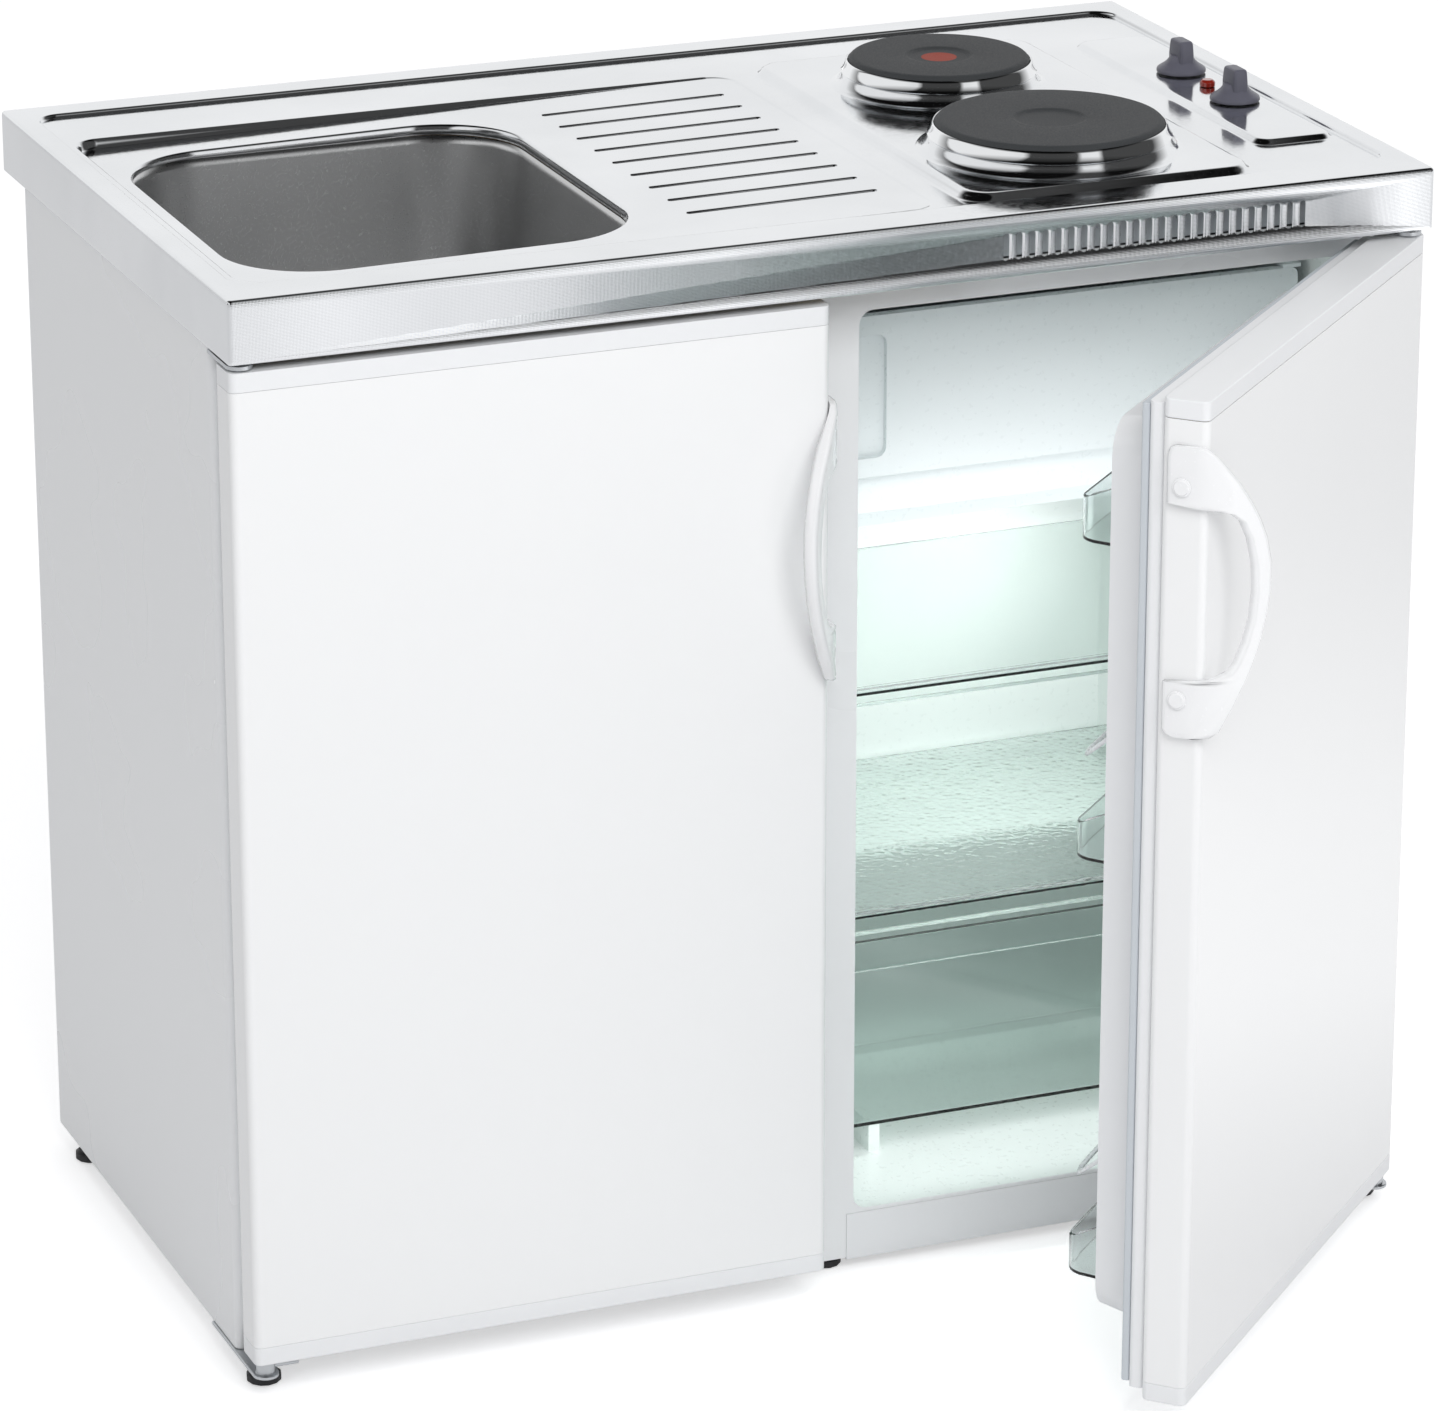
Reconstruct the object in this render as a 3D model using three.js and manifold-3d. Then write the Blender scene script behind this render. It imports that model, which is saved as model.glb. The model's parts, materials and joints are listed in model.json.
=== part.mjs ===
// Kitchenette unit: a pressed steel worktop with sink, drainer and two hotplates,
// a cupboard on the left and a built-in refrigerator on the right.
//
// Millimetres. +X is to the right, the fronts face -Y and +Z is up. The origin is on the
// floor below the middle of the worktop. The cupboard door is shut and the refrigerator
// door stands partly open.

import * as THREE from 'three';
import { mergeVertices } from 'three/addons/utils/BufferGeometryUtils.js';
import Module from 'manifold-3d';

const wasm = await Module();
wasm.setup();

// ---------------------------------------------------------------- driving dimensions

const SEAT = 0.3; // gap left between two pieces that rest on each other

// Worktop
const WORKTOP_WIDTH = 1000;
const WORKTOP_DEPTH = 600;
const WORKTOP_TOP = 895; // above the floor
const RIM_HEIGHT = 50;
const RIM_RETURN = 10; // inward fold at the bottom of the rim
const RIM_BEVEL = 1.5;
const SHEET = 1.2; // steel of the worktop and the bowl
const FIELD_SIDE_MARGIN = 18; // raised border round the pressed field
const FIELD_FRONT_MARGIN = 42;
const FIELD_BACK_MARGIN = 28;
const FIELD_DROP = 3;
const FIELD_RADIUS = 22;
const PRESS_DRAFT = 3; // how far a pressed wall leans over its height

// Places along the worktop, from its right end to its left
const CONTROL_MARGIN = 24; // from the worktop's right end to the raised control panel
const CONTROL_WIDTH = 73;
const CONTROL_GAP = 31; // between the raised hob and control panels
const HOB_WIDTH = 255;
const HOB_GAP = 19; // between the drainer and the raised hob panel
const DRAINER_MARGIN = 26; // from the drainer to the worktop's left end
const DRAINER_FRONT_MARGIN = 50;
const DRAINER_BACK_MARGIN = 104;
const CONTROL_RIGHT = WORKTOP_WIDTH / 2 - CONTROL_MARGIN;
const CONTROL_LEFT = CONTROL_RIGHT - CONTROL_WIDTH;
const HOB_RIGHT = CONTROL_LEFT - CONTROL_GAP;
const HOB_LEFT = HOB_RIGHT - HOB_WIDTH;
const DRAINER_RIGHT = HOB_LEFT - HOB_GAP;
const DRAINER_LEFT = DRAINER_MARGIN - WORKTOP_WIDTH / 2;
const DRAINER_FRONT = DRAINER_FRONT_MARGIN - WORKTOP_DEPTH / 2;
const DRAINER_BACK = WORKTOP_DEPTH / 2 - DRAINER_BACK_MARGIN;

// Sink, drainer and bowl
const DRAINER_FALL = 7.7; // depth of the drainer field at its left end
const DRAINER_EDGE = 0.6; // depth at its right end
const DRAINER_RADIUS = 24;
const GROOVE_COUNT = 9;
const GROOVE_WIDTH = 7;
const GROOVE_DEPTH = 2.2;
const GROOVE_PITCH = 40;
const GROOVE_START = 36; // from the bowl to the grooves
const GROOVE_END = 26; // from the grooves to the drainer's right end
const BOWL_LENGTH = 330; // along X
const BOWL_LEFT_MARGIN = 18; // from the drainer's edges to the bowl
const BOWL_FRONT_MARGIN = 31;
const BOWL_BACK_MARGIN = 42;
const BOWL_WIDTH = DRAINER_BACK - BOWL_BACK_MARGIN - DRAINER_FRONT - BOWL_FRONT_MARGIN; // along Y
const BOWL_CENTRE_X = DRAINER_LEFT + BOWL_LEFT_MARGIN + BOWL_LENGTH / 2;
const BOWL_CENTRE_Y = DRAINER_FRONT + BOWL_FRONT_MARGIN + BOWL_WIDTH / 2;
const GROOVE_LENGTH = DRAINER_RIGHT - GROOVE_END - BOWL_CENTRE_X - BOWL_LENGTH / 2 - GROOVE_START;
const GROOVE_CENTRE_X = DRAINER_RIGHT - GROOVE_END - GROOVE_LENGTH / 2;
const GROOVE_SHIFT = 11.5; // the grooves' middle lies this far behind the bowl's
const GROOVE_CENTRE_Y = BOWL_CENTRE_Y + GROOVE_SHIFT;
const BOWL_DEPTH = 150;
const BOWL_RADIUS = 78;
const BOWL_FLANGE = 9;
const WASTE_HOLE_RADIUS = 40;
const WASTE_FLANGE_RADIUS = 46;
const WASTE_CUP_DEPTH = 34;
const WASTE_WALL = 3;
const PLUG_RADIUS = 33;
const PLUG_LIFT_KNOB_HEIGHT = 16;
const TRAP_RADIUS = 30;
const TRAP_HEIGHT = 120;
const TRAP_WALL = 2.5;
const DRAIN_PIPE_RADIUS = 20;
const DRAIN_PIPE_DROP = 70; // pipe axis below the trap's top

// Hob
const HOB_FRONT = -254;
const HOB_BACK = 206;
const HOB_RISE = 6; // above the pressed field
const HOB_SLOPE = 10; // width of the panel's sloping edge in plan
const HOB_RADIUS = 28;
const HOB_OFFSET = 123; // from the panel's left end to the plates' centres
const HOB_CENTRE_X = HOB_LEFT + HOB_OFFSET;
const PLATE_RISE = 27; // above the worktop
const PLATE_TOP = WORKTOP_TOP + PLATE_RISE;
const PLATE_THICKNESS = 13;
const PLATE_BEVEL = 3;
const PLATE_DISH_DEPTH = 2;
const SMALL_PLATE_RADIUS = 75;
const SMALL_PLATE_Y = 83;
const SMALL_DISH_RADIUS = 27;
const LARGE_PLATE_RADIUS = 92;
const LARGE_PLATE_Y = -136;
const LARGE_DISH_RADIUS = 29;
const RING_WALL = 1.2;
const RING_FLARE = 6; // how far the spill ring reaches past its plate
const SEAT_RISE = 11; // raised seat of each plate above the hob panel
const SEAT_NECK = 4; // radii of the seat beyond its plate, from its top to its foot
const SEAT_WAIST = 9;
const SEAT_FOOT = 17;
const STUD_RADIUS = 5;
const HOB_OPENING_MARGIN = 10; // of the stiffening board round the hob panel

// Controls
const CONTROL_FRONT = -181;
const CONTROL_BACK = 179;
const CONTROL_RISE = 4; // above the pressed field
const CONTROL_SLOPE = 7; // width of the panel's sloping edge in plan
const CONTROL_RADIUS = 16;
const KNOB_OFFSET = 41; // from the panel's left end
const KNOB_X = CONTROL_LEFT + KNOB_OFFSET;
const REAR_KNOB_Y = 46;
const FRONT_KNOB_Y = -55;
const KNOB_RADIUS = 20.5;
const KNOB_SKIRT = 4;
const KNOB_CONE = 9;
const KNOB_HEIGHT = 27;
const KNOB_GRIP_WIDTH = 13;
const KNOB_GRIP_LENGTH = 24;
const KNOB_CLEARANCE = 1;
const SHAFT_RADIUS = 3;
const SWITCH_SIZE = 40;
const SWITCH_HEIGHT = 28;
const LAMP_Y = -4;
const LAMP_RADIUS = 6.5;
const LAMP_RISE = 6;

// Vent slots in the front of the rim
const VENT_COUNT = 24;
const VENT_PITCH = 11.07;
const VENT_LEAD = 12; // the first slot lies this far right of the hob panel's left end
const VENT_LEFT = HOB_LEFT + VENT_LEAD;
const VENT_WIDTH = 5;
const VENT_HEIGHT = 22;
const VENT_DROP = 25.5; // from the worktop's top to the slots' middles
const VENT_CENTRE_Z = WORKTOP_TOP - VENT_DROP;

// Cabinet
const CABINET_SIDE_INSET = 2; // inside the worktop's ends
const CABINET_BACK_INSET = 52; // inside its back edge
const DOOR_BODY = 36; // thickness of a door's steel wrapped body
const DOOR_STEP = 13; // thinner plate behind it
const SEAL_SPACE = 7; // between that plate and the cabinet
const DOOR_ZONE = DOOR_BODY + DOOR_STEP + SEAL_SPACE;
const CABINET_HALF_WIDTH = WORKTOP_WIDTH / 2 - CABINET_SIDE_INSET;
const CABINET_FRONT = DOOR_ZONE - WORKTOP_DEPTH / 2;
const CABINET_BACK = WORKTOP_DEPTH / 2 - CABINET_BACK_INSET;
const CABINET_BOTTOM = 20;
const PANEL_SHEET = 1.5;
const PANEL_RETURN = 20; // folded edges of the sheet panels
const PANEL_FOLD_RADIUS = 6;
const BOARD_THICKNESS = 16; // stiffening board under the worktop
const RAIL_DEPTH = 22;
const RAIL_SIDE = 8;
const HEAD_RAIL_DROP = 83; // from the worktop's top to the rail's lower edge
const HEAD_RAIL_BOTTOM = WORKTOP_TOP - HEAD_RAIL_DROP;
const FLOOR_THICKNESS = 16;
const FLOOR_LIP = 16; // upturned front edge of the cupboard floor
const POST_WIDTH = 24;
const POST_DEPTH = 30;
const PIPE_CUTOUT_WIDTH = 260;
const PIPE_CUTOUT_HEIGHT = 280;
const PIPE_CUTOUT_DROP = 195; // from the worktop's top
const PIPE_CUTOUT_TOP = WORKTOP_TOP - PIPE_CUTOUT_DROP;
const PIPE_CUTOUT_BOTTOM = PIPE_CUTOUT_TOP - PIPE_CUTOUT_HEIGHT;
const FOOT_RADIUS = 14;
const FOOT_PAD = 8;
const FOOT_STEM_RADIUS = 5;
const FOOT_SIDE_INSET = 16; // from the cabinet's side to the middle of a foot
const FOOT_FRONT_REACH = 18; // front feet stand this far before the cabinet, under the hinges
const FOOT_BACK_INSET = 43;
const FOOT_X = CABINET_HALF_WIDTH - FOOT_SIDE_INSET;
const FOOT_FRONT_Y = CABINET_FRONT - FOOT_FRONT_REACH;
const FOOT_BACK_Y = CABINET_BACK - FOOT_BACK_INSET;
const MIDDLE_FOOT_INSET_X = 32; // from the refrigerator's left side and the cabinet's front
const MIDDLE_FOOT_INSET_Y = 19;

// Refrigerator
const FRIDGE_LEFT = -20;
const FRIDGE_BACK_INSET = 22; // the condenser's depth behind the refrigerator
const FRIDGE_BACK = CABINET_BACK - FRIDGE_BACK_INSET;
const OPENING_FRAME_LEFT = 50; // widths of the steel frame round the opening
const OPENING_FRAME_RIGHT = 31;
const OPENING_LEFT = FRIDGE_LEFT + OPENING_FRAME_LEFT;
const OPENING_RIGHT = CABINET_HALF_WIDTH - OPENING_FRAME_RIGHT;
const DOOR_TOP_GAP = 6; // below the worktop's rim
const DOOR_FLOOR_GAP = 10; // from the cabinet's bottom to the doors'
const DOOR_TOP = WORKTOP_TOP - RIM_HEIGHT - DOOR_TOP_GAP;
const DOOR_BOTTOM = CABINET_BOTTOM + DOOR_FLOOR_GAP;
const OPENING_FRAME_TOP = 25; // below the door's top edge
const OPENING_FRAME_BOTTOM = 22; // above the door's bottom edge
const OPENING_BOTTOM = DOOR_BOTTOM + OPENING_FRAME_BOTTOM;
const OPENING_TOP = DOOR_TOP - OPENING_FRAME_TOP;
const MIDDLE_FOOT_X = FRIDGE_LEFT + MIDDLE_FOOT_INSET_X;
const MIDDLE_FOOT_Y = CABINET_FRONT + MIDDLE_FOOT_INSET_Y;
const OPENING_RADIUS = 12;
const LINER_WALL = 2;
const LINER_DRAFT = 7; // the cavity is this much narrower at the back
const BACK_INSULATION = 26;
const CAVITY_BACK = FRIDGE_BACK - BACK_INSULATION;
const HUMP_DEPTH = 160; // step in the floor over the compressor
const HUMP_FRONT = CAVITY_BACK - HUMP_DEPTH;
const HUMP_TOP = 236;
const HUMP_WALL_FRONT = 38; // from the step to the niche that holds the compressor
const HUMP_WALL_TOP = 40;
const NICHE_FRONT = HUMP_FRONT + HUMP_WALL_FRONT;
const NICHE_TOP = HUMP_TOP - HUMP_WALL_TOP;
const CASE_SHEET = 1;
const KICK_TOP_GAP = 3; // below the opening
const KICK_TOP = OPENING_BOTTOM - KICK_TOP_GAP;
const KICK_BOTTOM = 8;
const KICK_OVERLAP = 6; // past the opening's left side
const KICK_LEFT = OPENING_LEFT - KICK_OVERLAP;
const KICK_NOTCH_WIDTH = 40; // cut away at its right end for the hinge
const KICK_NOTCH = CABINET_HALF_WIDTH - KICK_NOTCH_WIDTH;
const KICK_THICKNESS = 3.5;
const FLANGE = 9; // turned edge of the liner behind the steel frame
const LEDGE_REACH = 14; // shelf ribs on the liner's side walls
const LEDGE_HEIGHT = 8;

// Refrigerator inside
const FREEZER_HEIGHT = 156;
const FREEZER_TOP_GAP = 14; // below the opening's top
const FREEZER_TOP = OPENING_TOP - FREEZER_TOP_GAP;
const FREEZER_BOTTOM = FREEZER_TOP - FREEZER_HEIGHT;
const DRIP_LIP_HEIGHT = 54; // stepped lip below the freezer compartment
const DRIP_LIP_BOTTOM = FREEZER_BOTTOM - DRIP_LIP_HEIGHT;
const THERMOSTAT_GAP = 10; // below that lip
const THERMOSTAT_HEIGHT = 72;
const THERMOSTAT_TOP = DRIP_LIP_BOTTOM - THERMOSTAT_GAP;
const THERMOSTAT_BOTTOM = THERMOSTAT_TOP - THERMOSTAT_HEIGHT;
const SHELF_FRONT_INSET = 84; // behind the cabinet's front
const SHELF_BACK_GAP = 14; // before the cavity's back
const SHELF_SIDE_GAP = 11; // from the opening's sides
const SHELF_FRONT = CABINET_FRONT + SHELF_FRONT_INSET;
const SHELF_BACK = CAVITY_BACK - SHELF_BACK_GAP;
const SHELF_LEFT = OPENING_LEFT + SHELF_SIDE_GAP;
const SHELF_RIGHT = OPENING_RIGHT - SHELF_SIDE_GAP;
const UPPER_SHELF_DROP = 42; // below the thermostat
const LOWER_SHELF_RISE = 36; // above the step over the compressor
const UPPER_SHELF_TOP = THERMOSTAT_BOTTOM - UPPER_SHELF_DROP;
const LOWER_SHELF_TOP = HUMP_TOP + LOWER_SHELF_RISE;
const GLASS = 4;
const TRIM_DEPTH = 14;
const TRIM_LIP = 2; // front trim above the glass
const UPPER_TRIM_HEIGHT = 12;
const LOWER_TRIM_HEIGHT = 17;
const CRISPER_TOP_GAP = 24; // below the lower shelf's top
const CRISPER_FLOOR_GAP = 26; // above the opening's bottom
const CRISPER_FRONT_GAP = 4; // behind the shelf's front
const CRISPER_BACK_GAP = 16; // before the step
const CRISPER_SIDE_GAP = 22;
const CRISPER_TOP = LOWER_SHELF_TOP - CRISPER_TOP_GAP;
const CRISPER_BOTTOM = OPENING_BOTTOM + CRISPER_FLOOR_GAP;
const CRISPER_FRONT = SHELF_FRONT + CRISPER_FRONT_GAP;
const CRISPER_BACK = HUMP_FRONT - CRISPER_BACK_GAP;
const CRISPER_LEFT = OPENING_LEFT + CRISPER_SIDE_GAP;
const CRISPER_RIGHT = OPENING_RIGHT - CRISPER_SIDE_GAP;
const CRISPER_WALL = 2.5;
const CRISPER_TAPER = 10;
const CRISPER_LIP = 26;
const RUNNER_WIDTH = 10;
const RUNNER_INSET = 34;
const FREEZER_SIDE_GAP = 12;
const FREEZER_FRONT_INSET = 96; // behind the cabinet's front
const FREEZER_BACK_GAP = 22;
const FREEZER_LEFT = OPENING_LEFT + FREEZER_SIDE_GAP;
const FREEZER_RIGHT = OPENING_RIGHT - FREEZER_SIDE_GAP;
const FREEZER_FRONT = CABINET_FRONT + FREEZER_FRONT_INSET;
const FREEZER_BACK = CAVITY_BACK - FREEZER_BACK_GAP;
const FREEZER_WALL = 3;
const FREEZER_RADIUS = 28; // of its upper corners
const DRIP_LIP_DEPTH = 40;
const FLAP_SIDE_GAP = 4; // inside the compartment's left side
const FLAP_REACH = 12; // its front before the compartment's
const FLAP_THICKNESS = 9;
const FLAP_BOTTOM_GAP = 4;
const FLAP_TOP_GAP = 18;
const FLAP_PIN_INSET = 7; // from the compartment's right side
const FLAP_LEFT = FREEZER_LEFT + FLAP_SIDE_GAP;
const FLAP_FRONT = FREEZER_FRONT - FLAP_REACH;
const FLAP_BOTTOM = FREEZER_BOTTOM + FLAP_BOTTOM_GAP;
const FLAP_TOP = FREEZER_TOP - FLAP_TOP_GAP;
const FLAP_PIN_X = FREEZER_RIGHT - FLAP_PIN_INSET;
const FLAP_PIN_RADIUS = 2.5;
const FLAP_GRIP_WIDTH = 36;
const LUG = 3;
const THERMOSTAT_BACK = 66;
const THERMOSTAT_FRONT = -66;
const THERMOSTAT_REACH = 37; // into the cavity from the opening's right side
const THERMOSTAT_LEFT = OPENING_RIGHT - THERMOSTAT_REACH;
const DIAL_RADIUS = 15;
const DIAL_DEPTH = 11;
const DIAL_Y = -30;

// Cooling
const COMPRESSOR_RADIUS = 62;
const COMPRESSOR_INSET = 248; // its middle from the cabinet's right side
const COMPRESSOR_SETBACK = 72; // and from the niche's front
const COMPRESSOR_X = CABINET_HALF_WIDTH - COMPRESSOR_INSET;
const COMPRESSOR_Y = NICHE_FRONT + COMPRESSOR_SETBACK;
const COMPRESSOR_FOOT = 12; // height of its rubber feet
const COMPRESSOR_FOOT_RADIUS = 9;
const COMPRESSOR_FOOT_X = 70; // from its middle
const COMPRESSOR_FOOT_Y = 30;
const COMPRESSOR_PLATE_X = 82; // half sizes of its base plate
const COMPRESSOR_PLATE_Y = 40;
const COMPRESSOR_PLATE = 4;
const COMPRESSOR_SEAM = 78; // its welded seam above the niche's floor
const TUBE_RADIUS = 3;
const WIRE = 1.5; // radius of the condenser's cross wires
const CONDENSER_WIRES = 3;
const CONDENSER_RUNS = 6;
const CONDENSER_RISE = 14; // above the step over the compressor
const CONDENSER_DROP = 34; // below the opening's top
const CONDENSER_BOTTOM = HUMP_TOP + CONDENSER_RISE;
const CONDENSER_TOP = OPENING_TOP - CONDENSER_DROP;
const CONDENSER_MARGIN = 45;
const CONDENSER_GAP = 12; // behind the refrigerator's back
const TERMINAL_INSET = 83; // its middle from the cabinet's right side
const TERMINAL_X = CABINET_HALF_WIDTH - TERMINAL_INSET;
const TERMINAL_WIDTH = 70;
const TERMINAL_HEIGHT = 38;
const TERMINAL_DEPTH = 34;
const GLAND_RADIUS = 9;

// Doors
const FRIDGE_DOOR_INSET = 3.6; // from the cabinet's right side
const FRIDGE_DOOR_RIGHT = CABINET_HALF_WIDTH - FRIDGE_DOOR_INSET;
const FRIDGE_DOOR_LEFT_INSET = 15.4; // from the refrigerator's left side, when it is shut
const FRIDGE_DOOR_LEFT = FRIDGE_LEFT + FRIDGE_DOOR_LEFT_INSET;
const FRIDGE_DOOR_WIDTH = FRIDGE_DOOR_RIGHT - FRIDGE_DOOR_LEFT;
const DOORS_GAP = 12.9;
const CUPBOARD_DOOR_RIGHT = FRIDGE_DOOR_LEFT - DOORS_GAP;
const CUPBOARD_DOOR_WIDTH = WORKTOP_WIDTH / 2 + CUPBOARD_DOOR_RIGHT;
const DOOR_STEP_INSET = 6;
const DOOR_RADIUS = 6;
const DOOR_SHEET = 1;
const DOOR_RETURN = 16; // folded back edges of a door's skin
const DOOR_LINING = 3;
const CAP_HEIGHT = 15;
const GASKET_INSET = 3;
const GASKET_WIDTH = 11;
const PIN_INSET = 11; // hinge axis from the door's edge and from its front
const PIN_RADIUS = 3.5;
const PIN_DEPTH = 11;
const PIN_CLEARANCE = 0.3;
const FRIDGE_DOOR_ANGLE = 44; // degrees open as it stands
const TUB_MARGIN = 39; // from the door's edge to the foot of the raised inner face
const TUB_BOTTOM_INSET = 36; // from the door's bottom and top edges
const TUB_TOP_INSET = 33;
const TUB_BOTTOM = DOOR_BOTTOM + TUB_BOTTOM_INSET;
const TUB_TOP = DOOR_TOP - TUB_TOP_INSET;
const TUB_RISE = 43;
const TUB_DRAFT = 7;
const TUB_LIP = 20; // width of the raised rim at the sides
const TUB_END_LIP = 10; // and at its top and bottom
const TUB_RADIUS = 26;
const TUB_FLOOR = 3; // inner face above the door's plate
const LUG_LENGTH = 18;
const BRACKET_SHEET = 3;
const BRACKET_DEPTH = 60;
const NOSE_RADIUS = 10.5;
const TAB_DROP = 33; // from the worktop's top to the hinge tabs'
const TAB_TOP = WORKTOP_TOP - TAB_DROP;

// Door racks
const RACK_REACH = 38; // past the raised edge of the door's inner face
const RACK_WALL = 2;
const RACK_TAPER = 10; // each end of a rack leans in by this much towards its front
const RACK_RADIUS = 14;
const UPPER_RACK_DROP = 145; // below the door's top edge
const MIDDLE_RACK_DROP = 401;
const LOWER_RACK_RISE = 60; // above its bottom edge
const MIDDLE_BAIL_RISE = 77; // above the racks' bottoms
const LOWER_BAIL_RISE = 76;
const UPPER_RACK_BOTTOM = DOOR_TOP - UPPER_RACK_DROP;
const MIDDLE_RACK_BOTTOM = DOOR_TOP - MIDDLE_RACK_DROP;
const LOWER_RACK_BOTTOM = DOOR_BOTTOM + LOWER_RACK_RISE;
const RACKS = [
  { name: 'upper', bottom: UPPER_RACK_BOTTOM, front: 33, back: 60 },
  { name: 'middle', bottom: MIDDLE_RACK_BOTTOM, front: 27, back: 57 },
  { name: 'lower', bottom: LOWER_RACK_BOTTOM, front: 29, back: 62 },
];
const BAIL_RADIUS = 2;
const BAIL_SLOPE = 34; // from a bottle wire's front up to its ends
const BAILS = [
  { name: 'upper', front: MIDDLE_RACK_BOTTOM + MIDDLE_BAIL_RISE },
  { name: 'lower', front: LOWER_RACK_BOTTOM + LOWER_BAIL_RISE },
];

// Handles
const FRIDGE_HANDLE_DROP = 34; // below the doors' top edge
const CUPBOARD_HANDLE_DROP = 77.5;
const FRIDGE_HANDLE_TOP = DOOR_TOP - FRIDGE_HANDLE_DROP;
const CUPBOARD_HANDLE_TOP = DOOR_TOP - CUPBOARD_HANDLE_DROP;
const HANDLE_PAD_REACH = 30; // how far the pad lies back along the door's edge
const HANDLE_PAD_THICKNESS = 5.6;
const HANDLE_BAR_THICKNESS = 12;
const HANDLE_BEND_START = 26; // along the pad, from its back edge
const HANDLE_BEND_RADIUS = 14;
const HANDLE_SWELL_START = 32; // where the pad begins to thicken into the bow
const HANDLE_SWELL = 14;
const HANDLE_BEND = Math.PI / 4;
// Outline of the handle laid flat: depth below its top, then how far its inner and its outer
// edge lie from the pad's back edge.
const HANDLE_OUTLINE = [
  [0, 6, 27], [2, 2, 31.5], [7, 0, 37], [28, 0, 54.5], [44.5, 0, 65], [46.5, 20, 66.2],
  [48, 34, 67], [51, 46, 68.5], [58, 55, 72], [72, 61.5, 77.5], [92, 66, 81.6], [114, 67, 81.6],
  [134, 65.3, 78.7], [152, 60.5, 74.5], [168, 54, 69], [176, 47, 65.8], [180, 34, 64],
  [181.5, 20, 63.3], [183.5, 0, 62.2], [202, 0, 53], [221, 0, 42], [224.5, 2, 36], [226, 6, 29],
];
const SCREW_DEPTHS = [31, 196.4]; // below the handle's top
const SCREW_SETBACK = 12.5; // from the pad's back edge
const SCREW_HEAD_RADIUS = 7.4;
const SCREW_HEAD_HEIGHT = 2.4;
const SCREW_RADIUS = 2.5;
const SCREW_LENGTH = 20;
const SCREW_CLEARANCE = 0.3;

// Facets
const CORNER_STEPS = 5;
const ROUND_STEPS = 32;
const MEDIUM_STEPS = 20;
const SMALL_STEPS = 12;

// ---------------------------------------------------------------- derived places

const halfWidth = WORKTOP_WIDTH / 2;
const halfDepth = WORKTOP_DEPTH / 2;
const rimBottom = WORKTOP_TOP - RIM_HEIGHT;
const fieldZ = WORKTOP_TOP - FIELD_DROP;
const hobZ = fieldZ + HOB_RISE;
const controlZ = fieldZ + CONTROL_RISE;
const boardTop = fieldZ - DRAINER_FALL - GROOVE_DEPTH - SHEET - SEAT;
const boardBottom = boardTop - BOARD_THICKNESS;
const cabinetTop = rimBottom - SEAT; // the worktop's folded rim rests on the cabinet
const railTop = boardBottom - SEAT;
const railHalf = halfWidth - RIM_RETURN - 2;
const hingeY = -halfDepth + PIN_INSET;
const cupboardHingeX = PIN_INSET - halfWidth;
const fridgeHingeX = FRIDGE_DOOR_RIGHT - PIN_INSET;
const bodyBack = DOOR_BODY - PIN_INSET; // backs of a door's layers, from its hinge axis
const plateBack = bodyBack + DOOR_STEP;
const gasketBack = CABINET_FRONT - SEAT - hingeY;
const tubBack = plateBack + TUB_RISE;
const rackFront = tubBack + RACK_REACH;
const bowlLeft = BOWL_CENTRE_X - BOWL_LENGTH / 2;
const bowlRight = BOWL_CENTRE_X + BOWL_LENGTH / 2;
const bowlFront = BOWL_CENTRE_Y - BOWL_WIDTH / 2;
const bowlBack = BOWL_CENTRE_Y + BOWL_WIDTH / 2;
const bowlFloor = fieldZ - DRAINER_FALL - BOWL_DEPTH;
const trapTop = bowlFloor - SHEET - WASTE_CUP_DEPTH - SEAT;

// ---------------------------------------------------------------- materials

function finish(color, roughness, metalness, opacity = 1) {
  const transparent = opacity < 1;
  return new THREE.MeshStandardMaterial({ color, roughness, metalness, transparent, opacity });
}

const MATERIALS = {
  steel: () => finish(0xd4d7da, 0.25, 1),
  brushed: () => finish(0xaeb0b2, 0.35, 1),
  chrome: () => finish(0xe6e8ea, 0.08, 1),
  iron: () => finish(0x3a3d40, 0.75, 0.3),
  whiteSteel: () => finish(0xf2f3f4, 0.35, 0),
  whitePlastic: () => finish(0xf5f5f5, 0.4, 0),
  linerPlastic: () => finish(0xeef4f3, 0.3, 0),
  foam: () => finish(0xe8dcae, 0.95, 0),
  board: () => finish(0xb99b6b, 0.9, 0),
  glass: () => finish(0xd9efe9, 0.05, 0, 0.35),
  clear: () => finish(0xe9f4f4, 0.1, 0, 0.4),
  knob: () => finish(0x545463, 0.4, 0),
  lens: () => finish(0xa03020, 0.15, 0),
  zinc: () => finish(0xc9cbcd, 0.3, 1),
  blackPlastic: () => finish(0x17181a, 0.5, 0),
  greyPlastic: () => finish(0x8b9094, 0.5, 0),
  gasket: () => finish(0xe4e6e7, 0.7, 0),
  copper: () => finish(0x2b2c2e, 0.4, 0.5),
};

// ---------------------------------------------------------------- geometry helpers

function solidOf(geometry) {
  const bare = geometry.clone();
  bare.deleteAttribute('normal');
  bare.deleteAttribute('uv');
  const merged = mergeVertices(bare, 1e-4);
  return new wasm.Manifold(new wasm.Mesh({
    numProp: 3,
    vertProperties: Float32Array.from(merged.attributes.position.array),
    triVerts: Uint32Array.from(merged.index.array),
  }));
}

function geometryOf(solid) {
  const mesh = solid.getMesh();
  const geometry = new THREE.BufferGeometry();
  geometry.setAttribute('position', new THREE.BufferAttribute(Float32Array.from(mesh.vertProperties), 3));
  geometry.setIndex(new THREE.BufferAttribute(Uint32Array.from(mesh.triVerts), 1));
  return geometry;
}

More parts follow.
